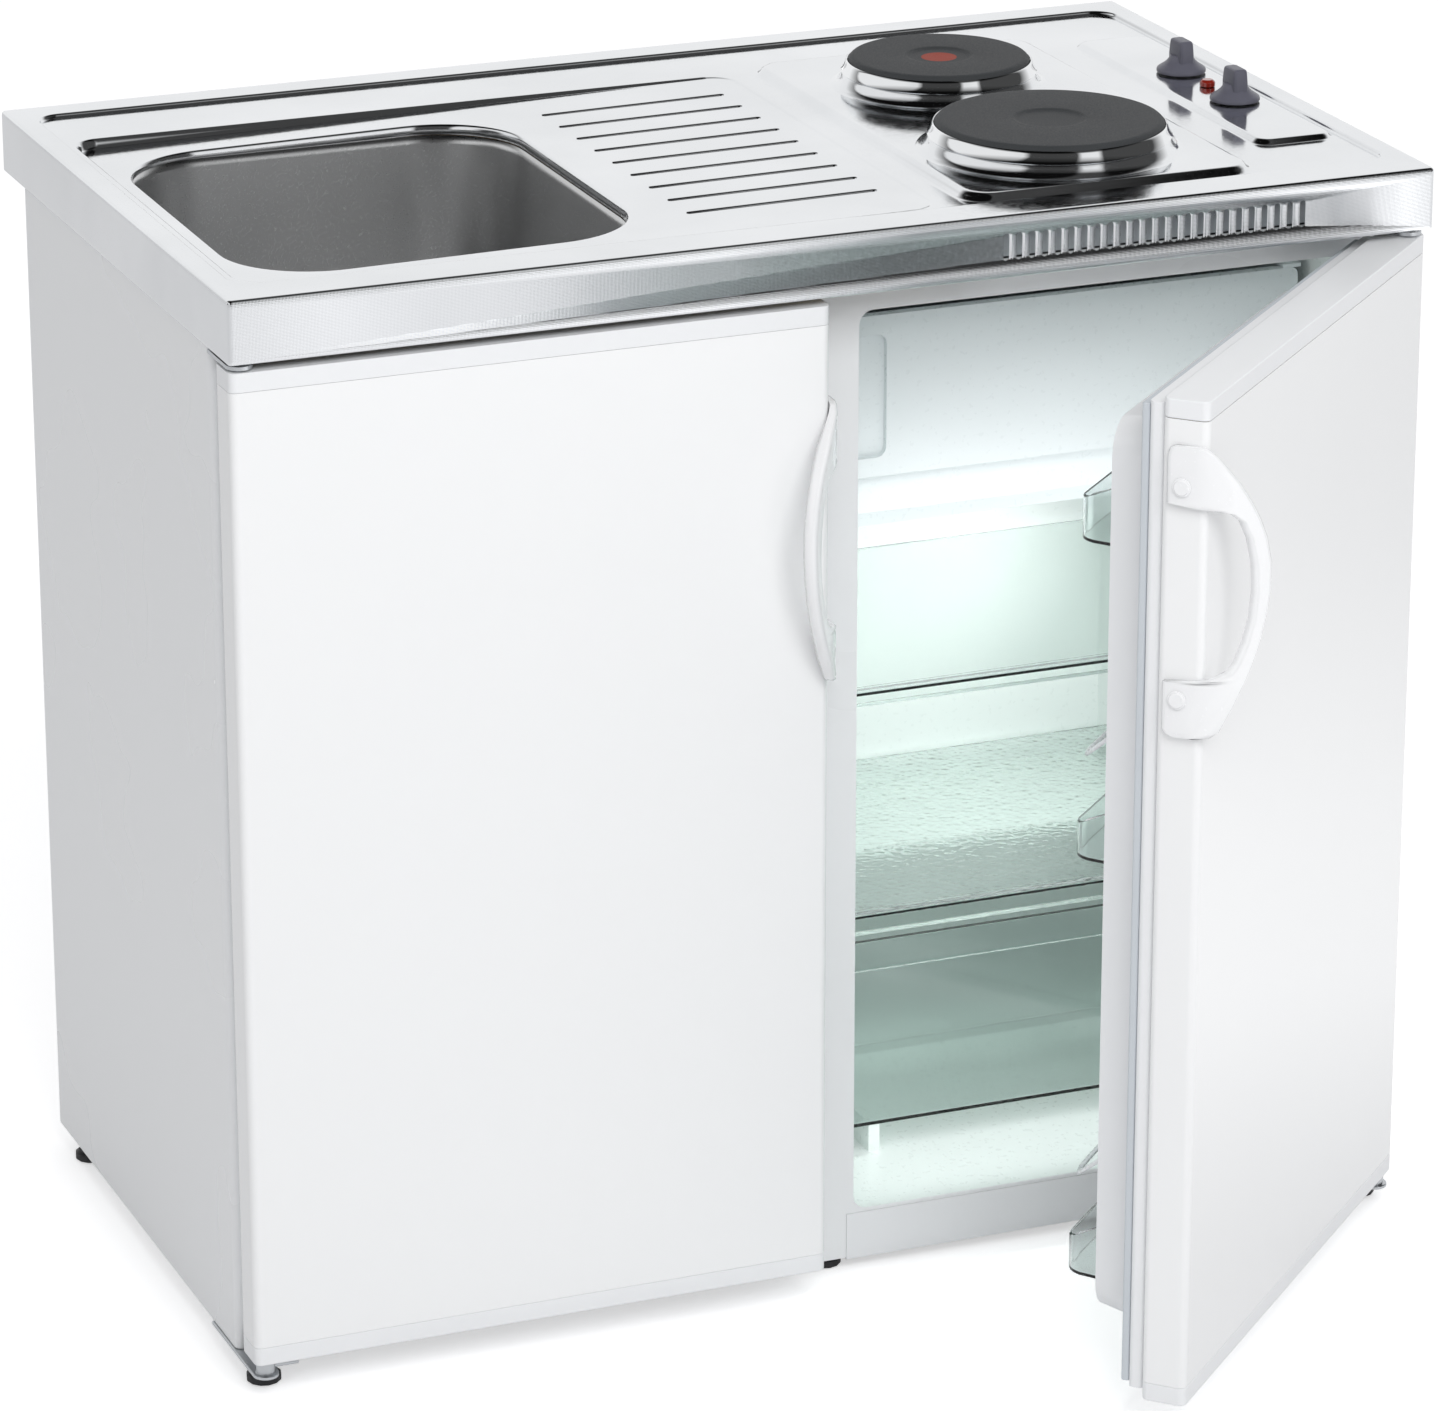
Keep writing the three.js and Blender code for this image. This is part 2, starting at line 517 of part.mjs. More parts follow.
function join(...geometries) {
  return geometryOf(geometries.map(solidOf).reduce((whole, piece) => whole.add(piece)));
}

function cut(geometry, ...tools) {
  return geometryOf(tools.map(solidOf).reduce((whole, tool) => whole.subtract(tool), solidOf(geometry)));
}

function block(x0, x1, y0, y1, z0, z1) {
  const box = new THREE.BoxGeometry(x1 - x0, y1 - y0, z1 - z0);
  return box.translate((x0 + x1) / 2, (y0 + y1) / 2, (z0 + z1) / 2);
}

function cylinder(x, y, z0, z1, radius, steps = ROUND_STEPS) {
  const body = new THREE.CylinderGeometry(radius, radius, z1 - z0, steps);
  return body.rotateX(Math.PI / 2).translate(x, y, (z0 + z1) / 2);
}

function cylinderX(x0, x1, y, z, radius, steps = SMALL_STEPS) {
  const body = new THREE.CylinderGeometry(radius, radius, x1 - x0, steps);
  return body.rotateZ(Math.PI / 2).translate((x0 + x1) / 2, y, z);
}

function cylinderY(x, y0, y1, z, radius, steps = ROUND_STEPS) {
  const body = new THREE.CylinderGeometry(radius, radius, y1 - y0, steps);
  return body.translate(x, (y0 + y1) / 2, z);
}

// A turned piece about the vertical line through x, y. The profile is [radius, height].
function turned(x, y, profile, steps = ROUND_STEPS) {
  const points = profile.map(([radius, height]) => new THREE.Vector2(radius, height));
  return new THREE.LatheGeometry(points, steps).rotateX(Math.PI / 2).translate(x, y, 0);
}

// Counter-clockwise outline of a rectangle with round corners, in the plane.
function roundedOutline(x0, x1, y0, y1, radius, steps = CORNER_STEPS) {
  const corners = [
    [x1 - radius, y1 - radius, 0],
    [x0 + radius, y1 - radius, 1],
    [x0 + radius, y0 + radius, 2],
    [x1 - radius, y0 + radius, 3],
  ];
  const outline = [];
  for (const [cx, cy, quarter] of corners) {
    for (let i = 0; i <= steps; i += 1) {
      const angle = (quarter + i / steps) * Math.PI / 2;
      outline.push([cx + radius * Math.cos(angle), cy + radius * Math.sin(angle)]);
    }
  }
  return outline;
}

// A ring is an outline lifted to a height, which may be a slope given as a function.
function ring(outline, height) {
  const heightAt = typeof height === 'function' ? height : () => height;
  return outline.map(([x, y]) => [x, y, heightAt(x, y)]);
}

// Closed body through rings of equal length, listed from the lowest to the highest.
function loft(rings) {
  const count = rings[0].length;
  const positions = rings.flat(2);
  const indices = [];
  for (let level = 0; level + 1 < rings.length; level += 1) {
    for (let i = 0; i < count; i += 1) {
      const a = level * count + i;
      const b = level * count + (i + 1) % count;
      indices.push(a, b, b + count, a, b + count, a + count);
    }
  }
  const flat = (points) => points.map(([x, y]) => new THREE.Vector2(x, y));
  const last = (rings.length - 1) * count;
  for (const [a, b, c] of THREE.ShapeUtils.triangulateShape(flat(rings[0]), [])) {
    indices.push(c, b, a);
  }
  for (const [a, b, c] of THREE.ShapeUtils.triangulateShape(flat(rings.at(-1)), [])) {
    indices.push(a + last, b + last, c + last);
  }
  const geometry = new THREE.BufferGeometry();
  geometry.setAttribute('position', new THREE.Float32BufferAttribute(positions, 3));
  geometry.setIndex(indices);
  return geometry;
}

function roundedBlock(x0, x1, y0, y1, z0, z1, radius, steps = CORNER_STEPS) {
  const outline = roundedOutline(x0, x1, y0, y1, radius, steps);
  return loft([ring(outline, z0), ring(outline, z1)]);
}

// The same body lying down: its outline is in X and Z, and it reaches from y0 to y1.
function roundedBlockY(x0, x1, z0, z1, y0, y1, radius, steps = CORNER_STEPS) {
  return roundedBlock(x0, x1, -z1, -z0, y0, y1, radius, steps).applyMatrix4(
    new THREE.Matrix4().set(1, 0, 0, 0, 0, 0, 1, 0, 0, -1, 0, 0, 0, 0, 0, 1),
  );
}

function tube(points, radius, steps) {
  const path = new THREE.CatmullRomCurve3(points.map((p) => new THREE.Vector3(...p)), false, 'centripetal');
  const section = new THREE.Shape();
  section.absarc(0, 0, radius, 0, 2 * Math.PI);
  return new THREE.ExtrudeGeometry(section, { extrudePath: path, steps, curveSegments: 3 });
}

function mirrored(geometry) {
  const flipped = (geometry.index ? geometry : mergeVertices(geometry, 1e-4)).clone();
  flipped.deleteAttribute('normal');
  flipped.scale(-1, 1, 1);
  const index = Array.from(flipped.index.array);
  for (let i = 0; i < index.length; i += 3) {
    [index[i], index[i + 1]] = [index[i + 1], index[i]];
  }
  flipped.setIndex(index);
  return flipped;
}

// ---------------------------------------------------------------- assembly

const unit = new THREE.Group();
const cupboardDoor = new THREE.Group();
const fridgeDoor = new THREE.Group();
cupboardDoor.position.set(cupboardHingeX, hingeY, 0);
fridgeDoor.position.set(fridgeHingeX, hingeY, 0);
fridgeDoor.rotation.z = THREE.MathUtils.degToRad(FRIDGE_DOOR_ANGLE);
unit.add(cupboardDoor, fridgeDoor);

function add(parent, name, geometry, material) {
  const mesh = new THREE.Mesh(geometry, MATERIALS[material]());
  mesh.name = name;
  parent.add(mesh);
}

// ---------------------------------------------------------------- worktop

// Height of the sloping drainer field, which falls to the left.
function drainerHeight(x) {
  const along = (x - DRAINER_LEFT) / (DRAINER_RIGHT - DRAINER_LEFT);
  return fieldZ - DRAINER_FALL + (DRAINER_FALL - DRAINER_EDGE) * along;
}

// Tool that presses a rounded pocket down to a floor height. Growing it and lowering it by
// the sheet's thickness gives the same pocket seen from below.
function pocket(x0, x1, y0, y1, radius, floor, grow) {
  const floorAt = typeof floor === 'function' ? floor : () => floor;
  const bottom = roundedOutline(x0 + PRESS_DRAFT - grow, x1 - PRESS_DRAFT + grow,
    y0 + PRESS_DRAFT - grow, y1 - PRESS_DRAFT + grow, radius - PRESS_DRAFT + grow);
  const top = roundedOutline(x0 - grow, x1 + grow, y0 - grow, y1 + grow, radius + grow);
  return loft([
    ring(bottom, (x) => floorAt(x) - grow),
    ring(top, fieldZ - grow),
    ring(top, WORKTOP_TOP + 1),
  ]);
}

function groove(index, grow) {
  const y = GROOVE_CENTRE_Y + (index - (GROOVE_COUNT - 1) / 2) * GROOVE_PITCH;
  const half = GROOVE_WIDTH / 2 + grow;
  const outline = roundedOutline(GROOVE_CENTRE_X - GROOVE_LENGTH / 2 - grow,
    GROOVE_CENTRE_X + GROOVE_LENGTH / 2 + grow, y - half, y + half, half - 0.01, 2);
  return loft([
    ring(outline, (x) => drainerHeight(x) - GROOVE_DEPTH - grow),
    ring(outline, WORKTOP_TOP + 1),
  ]);
}

// Tool that raises a rounded panel out of the pressed field, with a sloping edge.
function raisedPanel(x0, x1, y0, y1, radius, slope, rise, grow) {
  const inset = slope + grow;
  const foot = roundedOutline(x0 + grow, x1 - grow, y0 + grow, y1 - grow, radius - grow);
  const top = roundedOutline(x0 + inset, x1 - inset, y0 + inset, y1 - inset, radius - inset);
  return loft([
    ring(foot, fieldZ - SHEET - 1 - grow),
    ring(foot, fieldZ - grow),
    ring(top, fieldZ + rise - grow),
  ]);
}

// Raised seat of a hotplate: a steep collar that flares out at its foot.
function plateSeat(y, radius, grow) {
  const low = hobZ - SHEET - 1 - grow;
  return turned(HOB_CENTRE_X, y, [
    [0, low], [radius + SEAT_FOOT + 1 - grow, low], [radius + SEAT_FOOT - grow, hobZ - grow],
    [radius + SEAT_WAIST - grow, hobZ + 4 - grow],
    [radius + SEAT_NECK - grow, hobZ + SEAT_RISE - grow], [0, hobZ + SEAT_RISE - grow],
  ]);
}

// The worktop's form from above, or with grow = SHEET the hollow below it.
function worktopForm(grow) {
  const inset = (margin) => roundedOutline(-halfWidth + margin, halfWidth - margin,
    -halfDepth + margin, halfDepth - margin, 4, 2);
  const top = WORKTOP_TOP - grow;
  const outer = grow === 0
    ? loft([ring(inset(0), rimBottom), ring(inset(0), top - RIM_BEVEL), ring(inset(RIM_BEVEL), top)])
    : loft([ring(inset(RIM_RETURN), rimBottom - 1), ring(inset(RIM_RETURN), rimBottom + grow),
      ring(inset(grow), rimBottom + grow + 0.01), ring(inset(grow), top - RIM_BEVEL),
      ring(inset(grow + RIM_BEVEL), top)]);
  let form = solidOf(outer);
  form = form.subtract(solidOf(pocket(-halfWidth + FIELD_SIDE_MARGIN, halfWidth - FIELD_SIDE_MARGIN,
    -halfDepth + FIELD_FRONT_MARGIN, halfDepth - FIELD_BACK_MARGIN, FIELD_RADIUS, fieldZ, grow)));
  form = form.subtract(solidOf(pocket(DRAINER_LEFT, DRAINER_RIGHT, DRAINER_FRONT, DRAINER_BACK,
    DRAINER_RADIUS, drainerHeight, grow)));
  form = form.add(solidOf(raisedPanel(HOB_LEFT, HOB_RIGHT, HOB_FRONT, HOB_BACK,
    HOB_RADIUS, HOB_SLOPE, HOB_RISE, grow)));
  form = form.add(solidOf(raisedPanel(CONTROL_LEFT, CONTROL_RIGHT, CONTROL_FRONT, CONTROL_BACK,
    CONTROL_RADIUS, CONTROL_SLOPE, CONTROL_RISE, grow)));
  form = form.add(solidOf(plateSeat(SMALL_PLATE_Y, SMALL_PLATE_RADIUS, grow)));
  form = form.add(solidOf(plateSeat(LARGE_PLATE_Y, LARGE_PLATE_RADIUS, grow)));
  for (let i = 0; i < GROOVE_COUNT; i += 1) {
    form = form.subtract(solidOf(groove(i, grow)));
  }
  return form;
}

function bowlOutline(grow) {
  return roundedOutline(bowlLeft - grow, bowlRight + grow, bowlFront - grow, bowlBack + grow,
    BOWL_RADIUS + grow, 6);
}

function ventSlot(index) {
  const x = VENT_LEFT + index * VENT_PITCH;
  const half = VENT_WIDTH / 2;
  return roundedBlockY(x - half, x + half, VENT_CENTRE_Z - VENT_HEIGHT / 2, VENT_CENTRE_Z + VENT_HEIGHT / 2,
    -halfDepth - 1, -halfDepth + SHEET + 1, half - 0.01, 2);
}

function worktop() {
  let sheet = worktopForm(0).subtract(worktopForm(SHEET));
  const through = [
    loft([ring(bowlOutline(0), rimBottom), ring(bowlOutline(0), WORKTOP_TOP + 1)]),
    cylinder(HOB_CENTRE_X, SMALL_PLATE_Y, rimBottom, PLATE_TOP, SMALL_PLATE_RADIUS - SEAT_WAIST),
    cylinder(HOB_CENTRE_X, LARGE_PLATE_Y, rimBottom, PLATE_TOP, LARGE_PLATE_RADIUS - SEAT_WAIST),
    cylinder(KNOB_X, REAR_KNOB_Y, rimBottom, PLATE_TOP, SHAFT_RADIUS + KNOB_CLEARANCE, SMALL_STEPS),
    cylinder(KNOB_X, FRONT_KNOB_Y, rimBottom, PLATE_TOP, SHAFT_RADIUS + KNOB_CLEARANCE, SMALL_STEPS),
    cylinder(KNOB_X, LAMP_Y, rimBottom, PLATE_TOP, LAMP_RADIUS - 1, SMALL_STEPS),
  ];
  for (let i = 0; i < VENT_COUNT; i += 1) {
    through.push(ventSlot(i));
  }
  for (const tool of through) {
    sheet = sheet.subtract(solidOf(tool));
  }
  return geometryOf(sheet);
}

add(unit, 'worktop', worktop(), 'steel');

// ---------------------------------------------------------------- sink

// The bowl hangs on a flange that follows the slope of the drainer field from below.
function sinkBowl() {
  const flangeTop = (x) => drainerHeight(x) - SHEET - SEAT;
  const walls = [[8, 30], [15, 110], [21, 134], [33, 146], [50, BOWL_DEPTH]]; // inset at each depth
  const level = (depth) => fieldZ - DRAINER_FALL - depth;
  const shrink = (inset) => bowlOutline(-inset);
  const inside = walls.toReversed().map(([inset, depth]) => ring(shrink(inset), level(depth)));
  const outside = walls.toReversed().map(([inset, depth]) => ring(shrink(inset - SHEET), level(depth) - SHEET));
  const hollow = loft([...inside, ring(shrink(2), level(8)), ring(bowlOutline(0), flangeTop),
    ring(bowlOutline(0), WORKTOP_TOP)]);
  const body = loft([...outside, ring(shrink(2 - SHEET), level(8)),
    ring(bowlOutline(SHEET), (x) => flangeTop(x) - SHEET - 0.01),
    ring(bowlOutline(BOWL_FLANGE), (x) => flangeTop(x) - SHEET), ring(bowlOutline(BOWL_FLANGE), flangeTop)]);
  const outlet = cylinder(BOWL_CENTRE_X, BOWL_CENTRE_Y, bowlFloor - 10, bowlFloor + 10, WASTE_HOLE_RADIUS, MEDIUM_STEPS);
  return cut(body, hollow, outlet);
}

function wasteOutlet() {
  const top = bowlFloor + SEAT + 1;
  const cup = WASTE_HOLE_RADIUS - SEAT;
  const floor = bowlFloor - SHEET - WASTE_CUP_DEPTH;
  const body = turned(BOWL_CENTRE_X, BOWL_CENTRE_Y, [
    [0, floor], [cup, floor], [cup, bowlFloor + SEAT], [WASTE_FLANGE_RADIUS, bowlFloor + SEAT],
    [WASTE_FLANGE_RADIUS - 2, top], [0, top],
  ], MEDIUM_STEPS);
  const hollow = cylinder(BOWL_CENTRE_X, BOWL_CENTRE_Y, floor + WASTE_WALL, top + 1, cup - WASTE_WALL, MEDIUM_STEPS);
  const mouth = cylinder(BOWL_CENTRE_X, BOWL_CENTRE_Y, floor - 1, floor + WASTE_WALL + 1, TRAP_RADIUS / 2, MEDIUM_STEPS);
  return cut(body, hollow, mouth);
}

function sinkPlug() {
  const cup = WASTE_HOLE_RADIUS - SEAT - WASTE_WALL;
  const floor = bowlFloor - SHEET - WASTE_CUP_DEPTH + WASTE_WALL + SEAT;
  const top = floor + PLUG_LIFT_KNOB_HEIGHT + 14;
  return turned(BOWL_CENTRE_X, BOWL_CENTRE_Y, [
    [0, floor], [PLUG_RADIUS - 6, floor], [Math.min(PLUG_RADIUS, cup - 1), floor + 6],
    [Math.min(PLUG_RADIUS, cup - 1), floor + 14], [PLUG_RADIUS - 4, floor + 14], [PLUG_RADIUS - 8, floor + 9],
    [4, floor + 9], [4, top - 4], [9, top - 3], [9, top], [0, top],
  ], MEDIUM_STEPS);
}

function wasteTrap() {
  const bottom = trapTop - TRAP_HEIGHT;
  const pipeZ = trapTop - DRAIN_PIPE_DROP;
  const pipeEnd = CABINET_BACK + RIM_RETURN + TRAP_RADIUS;
  const body = join(
    turned(BOWL_CENTRE_X, BOWL_CENTRE_Y, [
      [0, bottom], [TRAP_RADIUS - 4, bottom], [TRAP_RADIUS, bottom + 4], [TRAP_RADIUS, trapTop - 22],
      [TRAP_RADIUS + 5, trapTop - 20], [TRAP_RADIUS + 5, trapTop], [0, trapTop],
    ], MEDIUM_STEPS),
    cylinderY(BOWL_CENTRE_X, BOWL_CENTRE_Y, pipeEnd, pipeZ, DRAIN_PIPE_RADIUS, MEDIUM_STEPS),
  );
  return cut(body,
    cylinder(BOWL_CENTRE_X, BOWL_CENTRE_Y, bottom + TRAP_WALL, trapTop + 1, TRAP_RADIUS - TRAP_WALL, MEDIUM_STEPS),
    cylinderY(BOWL_CENTRE_X, BOWL_CENTRE_Y, pipeEnd + 1, pipeZ, DRAIN_PIPE_RADIUS - TRAP_WALL, MEDIUM_STEPS));
}

add(unit, 'sink_bowl', sinkBowl(), 'brushed');
add(unit, 'waste_outlet', wasteOutlet(), 'chrome');
add(unit, 'sink_plug', sinkPlug(), 'chrome');
add(unit, 'waste_trap', wasteTrap(), 'whitePlastic');

// ---------------------------------------------------------------- hob

const seatTop = hobZ + SEAT_RISE;
const ringFoot = seatTop + SEAT;
const plateBottom = PLATE_TOP - PLATE_THICKNESS;

// Cast plate with a bevelled edge, a shallow dish in the middle and a stud below.
function hotplate(y, radius, dishRadius) {
  const under = Math.max(plateBottom, ringFoot + RING_WALL + SEAT);
  return turned(HOB_CENTRE_X, y, [
    [0, boardBottom], [STUD_RADIUS, boardBottom], [STUD_RADIUS, plateBottom - 8],
    [radius - SEAT_WAIST - 6, plateBottom - 8], [radius - SEAT_WAIST - 3, under], [radius, under],
    [radius, PLATE_TOP - PLATE_BEVEL], [radius - PLATE_BEVEL, PLATE_TOP], [dishRadius, PLATE_TOP],
    [dishRadius - 3, PLATE_TOP - PLATE_DISH_DEPTH], [0, PLATE_TOP - PLATE_DISH_DEPTH],
  ]);
}

// Bright spill ring: a thin collar that slopes out round the plate and lies on its seat.
function spillRing(y, radius) {
  const inner = radius + SEAT;
  const lip = PLATE_TOP - PLATE_BEVEL - 0.5;
  return turned(HOB_CENTRE_X, y, [
    [inner, lip], [inner + RING_WALL * 2, ringFoot + RING_WALL], [inner - 6, ringFoot + RING_WALL],
    [inner - 6, ringFoot], [inner + RING_FLARE, ringFoot], [inner + RING_WALL, lip], [inner, lip],
  ]);
}

add(unit, 'hotplate_small', hotplate(SMALL_PLATE_Y, SMALL_PLATE_RADIUS, SMALL_DISH_RADIUS), 'iron');
add(unit, 'hotplate_large', hotplate(LARGE_PLATE_Y, LARGE_PLATE_RADIUS, LARGE_DISH_RADIUS), 'iron');
add(unit, 'spill_ring_small', spillRing(SMALL_PLATE_Y, SMALL_PLATE_RADIUS), 'chrome');
add(unit, 'spill_ring_large', spillRing(LARGE_PLATE_Y, LARGE_PLATE_RADIUS), 'chrome');

// ---------------------------------------------------------------- controls

const switchTop = controlZ - SHEET - SEAT;

function energySwitch(y) {
  const half = SWITCH_SIZE / 2;
  const well = cylinder(KNOB_X, y, switchTop - SWITCH_HEIGHT / 2, switchTop + 1, SHAFT_RADIUS + SEAT,
    SMALL_STEPS);
  return cut(block(KNOB_X - half, KNOB_X + half, y - half, y + half, switchTop - SWITCH_HEIGHT, switchTop), well);
}

// Cone skirt with a tall bar grip that points to the front, on its own stem.
function knob(y) {
  const foot = controlZ + KNOB_CLEARANCE;
  const skirt = turned(KNOB_X, y, [
    [0, foot], [KNOB_RADIUS, foot], [KNOB_RADIUS, foot + KNOB_SKIRT],
    [KNOB_GRIP_WIDTH / 2 + 2, foot + KNOB_SKIRT + KNOB_CONE], [0, foot + KNOB_SKIRT + KNOB_CONE],
  ], MEDIUM_STEPS);
  const half = KNOB_GRIP_WIDTH / 2;
  const front = y - KNOB_GRIP_LENGTH / 2;
  const back = y + KNOB_GRIP_LENGTH / 2;
  const grip = loft([
    ring(roundedOutline(KNOB_X - half, KNOB_X + half, front, back, 2, 2), foot + KNOB_SKIRT - 1),
    ring(roundedOutline(KNOB_X - half + 1, KNOB_X + half - 1, front + 2, back - 2, 2, 2), foot + KNOB_HEIGHT),
  ]);
  const stem = cylinder(KNOB_X, y, switchTop - SWITCH_HEIGHT / 2 + SEAT, foot + 1, SHAFT_RADIUS, SMALL_STEPS);
  return join(skirt, grip, stem);
}

function indicatorLamp() {
  const low = switchTop - 14;
  const neck = LAMP_RADIUS - 1 - SEAT;
  return turned(KNOB_X, LAMP_Y, [
    [0, low], [neck, low], [neck, controlZ + SEAT], [LAMP_RADIUS, controlZ + SEAT],
    [LAMP_RADIUS, controlZ + LAMP_RISE - 2], [LAMP_RADIUS - 2, controlZ + LAMP_RISE], [0, controlZ + LAMP_RISE],
  ], MEDIUM_STEPS);
}

for (const [place, y] of [['rear', REAR_KNOB_Y], ['front', FRONT_KNOB_Y]]) {
  add(unit, `hob_switch_${place}`, energySwitch(y), 'blackPlastic');
  add(unit, `hob_knob_${place}`, knob(y), 'knob');
}
add(unit, 'indicator_lamp', indicatorLamp(), 'lens');

// ---------------------------------------------------------------- cabinet

// Board that stiffens the worktop, cut away for the bowl, the hob and the controls.
function stiffeningBoard() {
  const x = halfWidth - SHEET - 2;
  const y = halfDepth - SHEET - 2;
  const hobOpen = block(HOB_LEFT - HOB_OPENING_MARGIN, x - PANEL_RETURN / 2, -y - 1, HOB_BACK + HOB_OPENING_MARGIN,
    boardBottom - 1, boardTop + 1);
  const bowlHole = roundedBlock(bowlLeft - BOWL_FLANGE - 3, bowlRight + BOWL_FLANGE + 3,
    bowlFront - BOWL_FLANGE - 3, bowlBack + BOWL_FLANGE + 3, boardBottom - 1, boardTop + 1, BOWL_RADIUS);
  return cut(block(-x, x, -y, y, boardBottom, boardTop), hobOpen, bowlHole);
}

// Left side: sheet with folded edges and a round front fold.
function sidePanel() {
  const x0 = -CABINET_HALF_WIDTH;
  const edge = x0 + PANEL_RETURN;
  const outer = roundedBlock(x0, edge, CABINET_FRONT, CABINET_BACK, CABINET_BOTTOM, cabinetTop, PANEL_FOLD_RADIUS);
  const square = block(x0 + PANEL_FOLD_RADIUS, edge, CABINET_FRONT, CABINET_BACK, CABINET_BOTTOM, cabinetTop);
  const inner = roundedBlock(x0 + PANEL_SHEET, edge + PANEL_RETURN, CABINET_FRONT + PANEL_SHEET,
    CABINET_BACK - PANEL_SHEET, CABINET_BOTTOM + PANEL_SHEET, cabinetTop - PANEL_SHEET,
    PANEL_FOLD_RADIUS - PANEL_SHEET);
  return cut(join(outer, square), inner);
}

function cupboardFloor() {
  const x0 = -CABINET_HALF_WIDTH + PANEL_RETURN + SEAT;
  const x1 = FRIDGE_LEFT - POST_WIDTH - SEAT;
  const y1 = CABINET_BACK - PANEL_SHEET - SEAT;
  const top = CABINET_BOTTOM + FLOOR_THICKNESS;
  const behindPost = CABINET_FRONT + POST_DEPTH + SEAT;
  const body = join(block(x0, x1, CABINET_FRONT, y1, CABINET_BOTTOM, top),
    block(x0, FRIDGE_LEFT - SEAT, behindPost, y1, CABINET_BOTTOM, top),
    block(x0, x1, CABINET_FRONT, CABINET_FRONT + PANEL_SHEET, CABINET_BOTTOM, top + FLOOR_LIP));
  return cut(body, block(x0 + PANEL_SHEET, x1 - PANEL_SHEET, CABINET_FRONT + PANEL_SHEET, y1 - PANEL_SHEET,
    CABINET_BOTTOM - 1, top - PANEL_SHEET));
}

function cupboardBack() {
  const x0 = -CABINET_HALF_WIDTH + PANEL_RETURN + SEAT;
  const x1 = FRIDGE_LEFT - SEAT;
  const middle = (x0 + x1) / 2;
  const half = PIPE_CUTOUT_WIDTH / 2;
  return cut(block(x0, x1, CABINET_BACK - PANEL_SHEET, CABINET_BACK, CABINET_BOTTOM, cabinetTop),
    roundedBlockY(middle - half, middle + half, PIPE_CUTOUT_BOTTOM, PIPE_CUTOUT_TOP, CABINET_BACK - 5,
      CABINET_BACK + 5, 20));
}

// Folded channel between the cupboard and the refrigerator, open to the back.
function centrePost() {
  const x0 = FRIDGE_LEFT - POST_WIDTH;
  const x1 = FRIDGE_LEFT - SEAT;
  return cut(block(x0, x1, CABINET_FRONT, CABINET_FRONT + POST_DEPTH, CABINET_BOTTOM, cabinetTop),
    block(x0 + PANEL_SHEET, x1 - PANEL_SHEET, CABINET_FRONT + PANEL_SHEET, CABINET_FRONT + POST_DEPTH + 1,
      CABINET_BOTTOM - 1, cabinetTop + 1));
}

// Upper hinge plate of a door at x, with its pin pointing down and a tab up the front rail.
function upperHinge(x) {
  const top = cabinetTop - 1;
  const bottom = top - BRACKET_SHEET;
  const front = hingeY;
  const back = CABINET_FRONT - SEAT;
  const tab0 = Math.max(x - NOSE_RADIUS, -railHalf);
  const tab1 = Math.min(x + NOSE_RADIUS, railHalf);
  return join(
    block(x - NOSE_RADIUS, x + NOSE_RADIUS, front, back, bottom, top),
    cylinder(x, hingeY, bottom, top, NOSE_RADIUS, 32),
    cylinder(x, hingeY, DOOR_TOP - PIN_DEPTH, bottom + 1, PIN_RADIUS, SMALL_STEPS),
    block(tab0, tab1, back - BRACKET_SHEET, back, bottom, TAB_TOP),
    block(tab0, tab1, back - 1, CABINET_FRONT + 1, railBottom + 2, TAB_TOP),
  );
}

const railBottom = cabinetTop + SEAT;

// Frame of rails on top of the cabinet, with the doors' upper hinges welded to its front.
function topFrame() {
  const back = CABINET_BACK - 2 * PANEL_SHEET;
  const ringOf = (inset, z0, z1) => cut(
    block(-railHalf + inset, railHalf - inset, CABINET_FRONT + inset, back - inset, z0, z1),
    block(-railHalf + RAIL_SIDE - inset, railHalf - RAIL_SIDE + inset, CABINET_FRONT + RAIL_DEPTH - inset,
      back - RAIL_DEPTH + inset, z0 - 1, z1 + 1),
  );
  const frame = cut(ringOf(0, railBottom, railTop), ringOf(PANEL_SHEET, railBottom - 1, railTop - PANEL_SHEET));
  const x0 = -CABINET_HALF_WIDTH + PANEL_RETURN + SEAT;
  const x1 = FRIDGE_LEFT - POST_WIDTH - SEAT;
  const y0 = CABINET_FRONT;
  const head = cut(block(x0, x1, y0, y0 + RAIL_DEPTH, HEAD_RAIL_BOTTOM, railBottom + PANEL_SHEET),
    block(x0 - 1, x1 + 1, y0 + PANEL_SHEET, y0 + RAIL_DEPTH + 1, HEAD_RAIL_BOTTOM + PANEL_SHEET, railBottom));
  return join(frame, head, upperHinge(cupboardHingeX), upperHinge(fridgeHingeX));
}

// Lower hinge: a tongue under the cabinet with a rounded nose, a boss and a pin pointing up.
function lowerHinge(x, edge) {
  const top = CABINET_BOTTOM - SEAT;
  const bottom = top - BRACKET_SHEET;
  return join(
    block(Math.min(x - NOSE_RADIUS, edge), Math.max(x + NOSE_RADIUS, edge), hingeY + NOSE_RADIUS,
      CABINET_FRONT + BRACKET_DEPTH, bottom, top),
    block(x - NOSE_RADIUS, x + NOSE_RADIUS, hingeY, hingeY + NOSE_RADIUS + 1, bottom, top),
    cylinder(x, hingeY, bottom, top, NOSE_RADIUS, 32),
    cylinder(x, hingeY, bottom, DOOR_BOTTOM - 2 * SEAT, NOSE_RADIUS - 3, 24),
    cylinder(x, hingeY, bottom, DOOR_BOTTOM + PIN_DEPTH, PIN_RADIUS, SMALL_STEPS),
  );
}

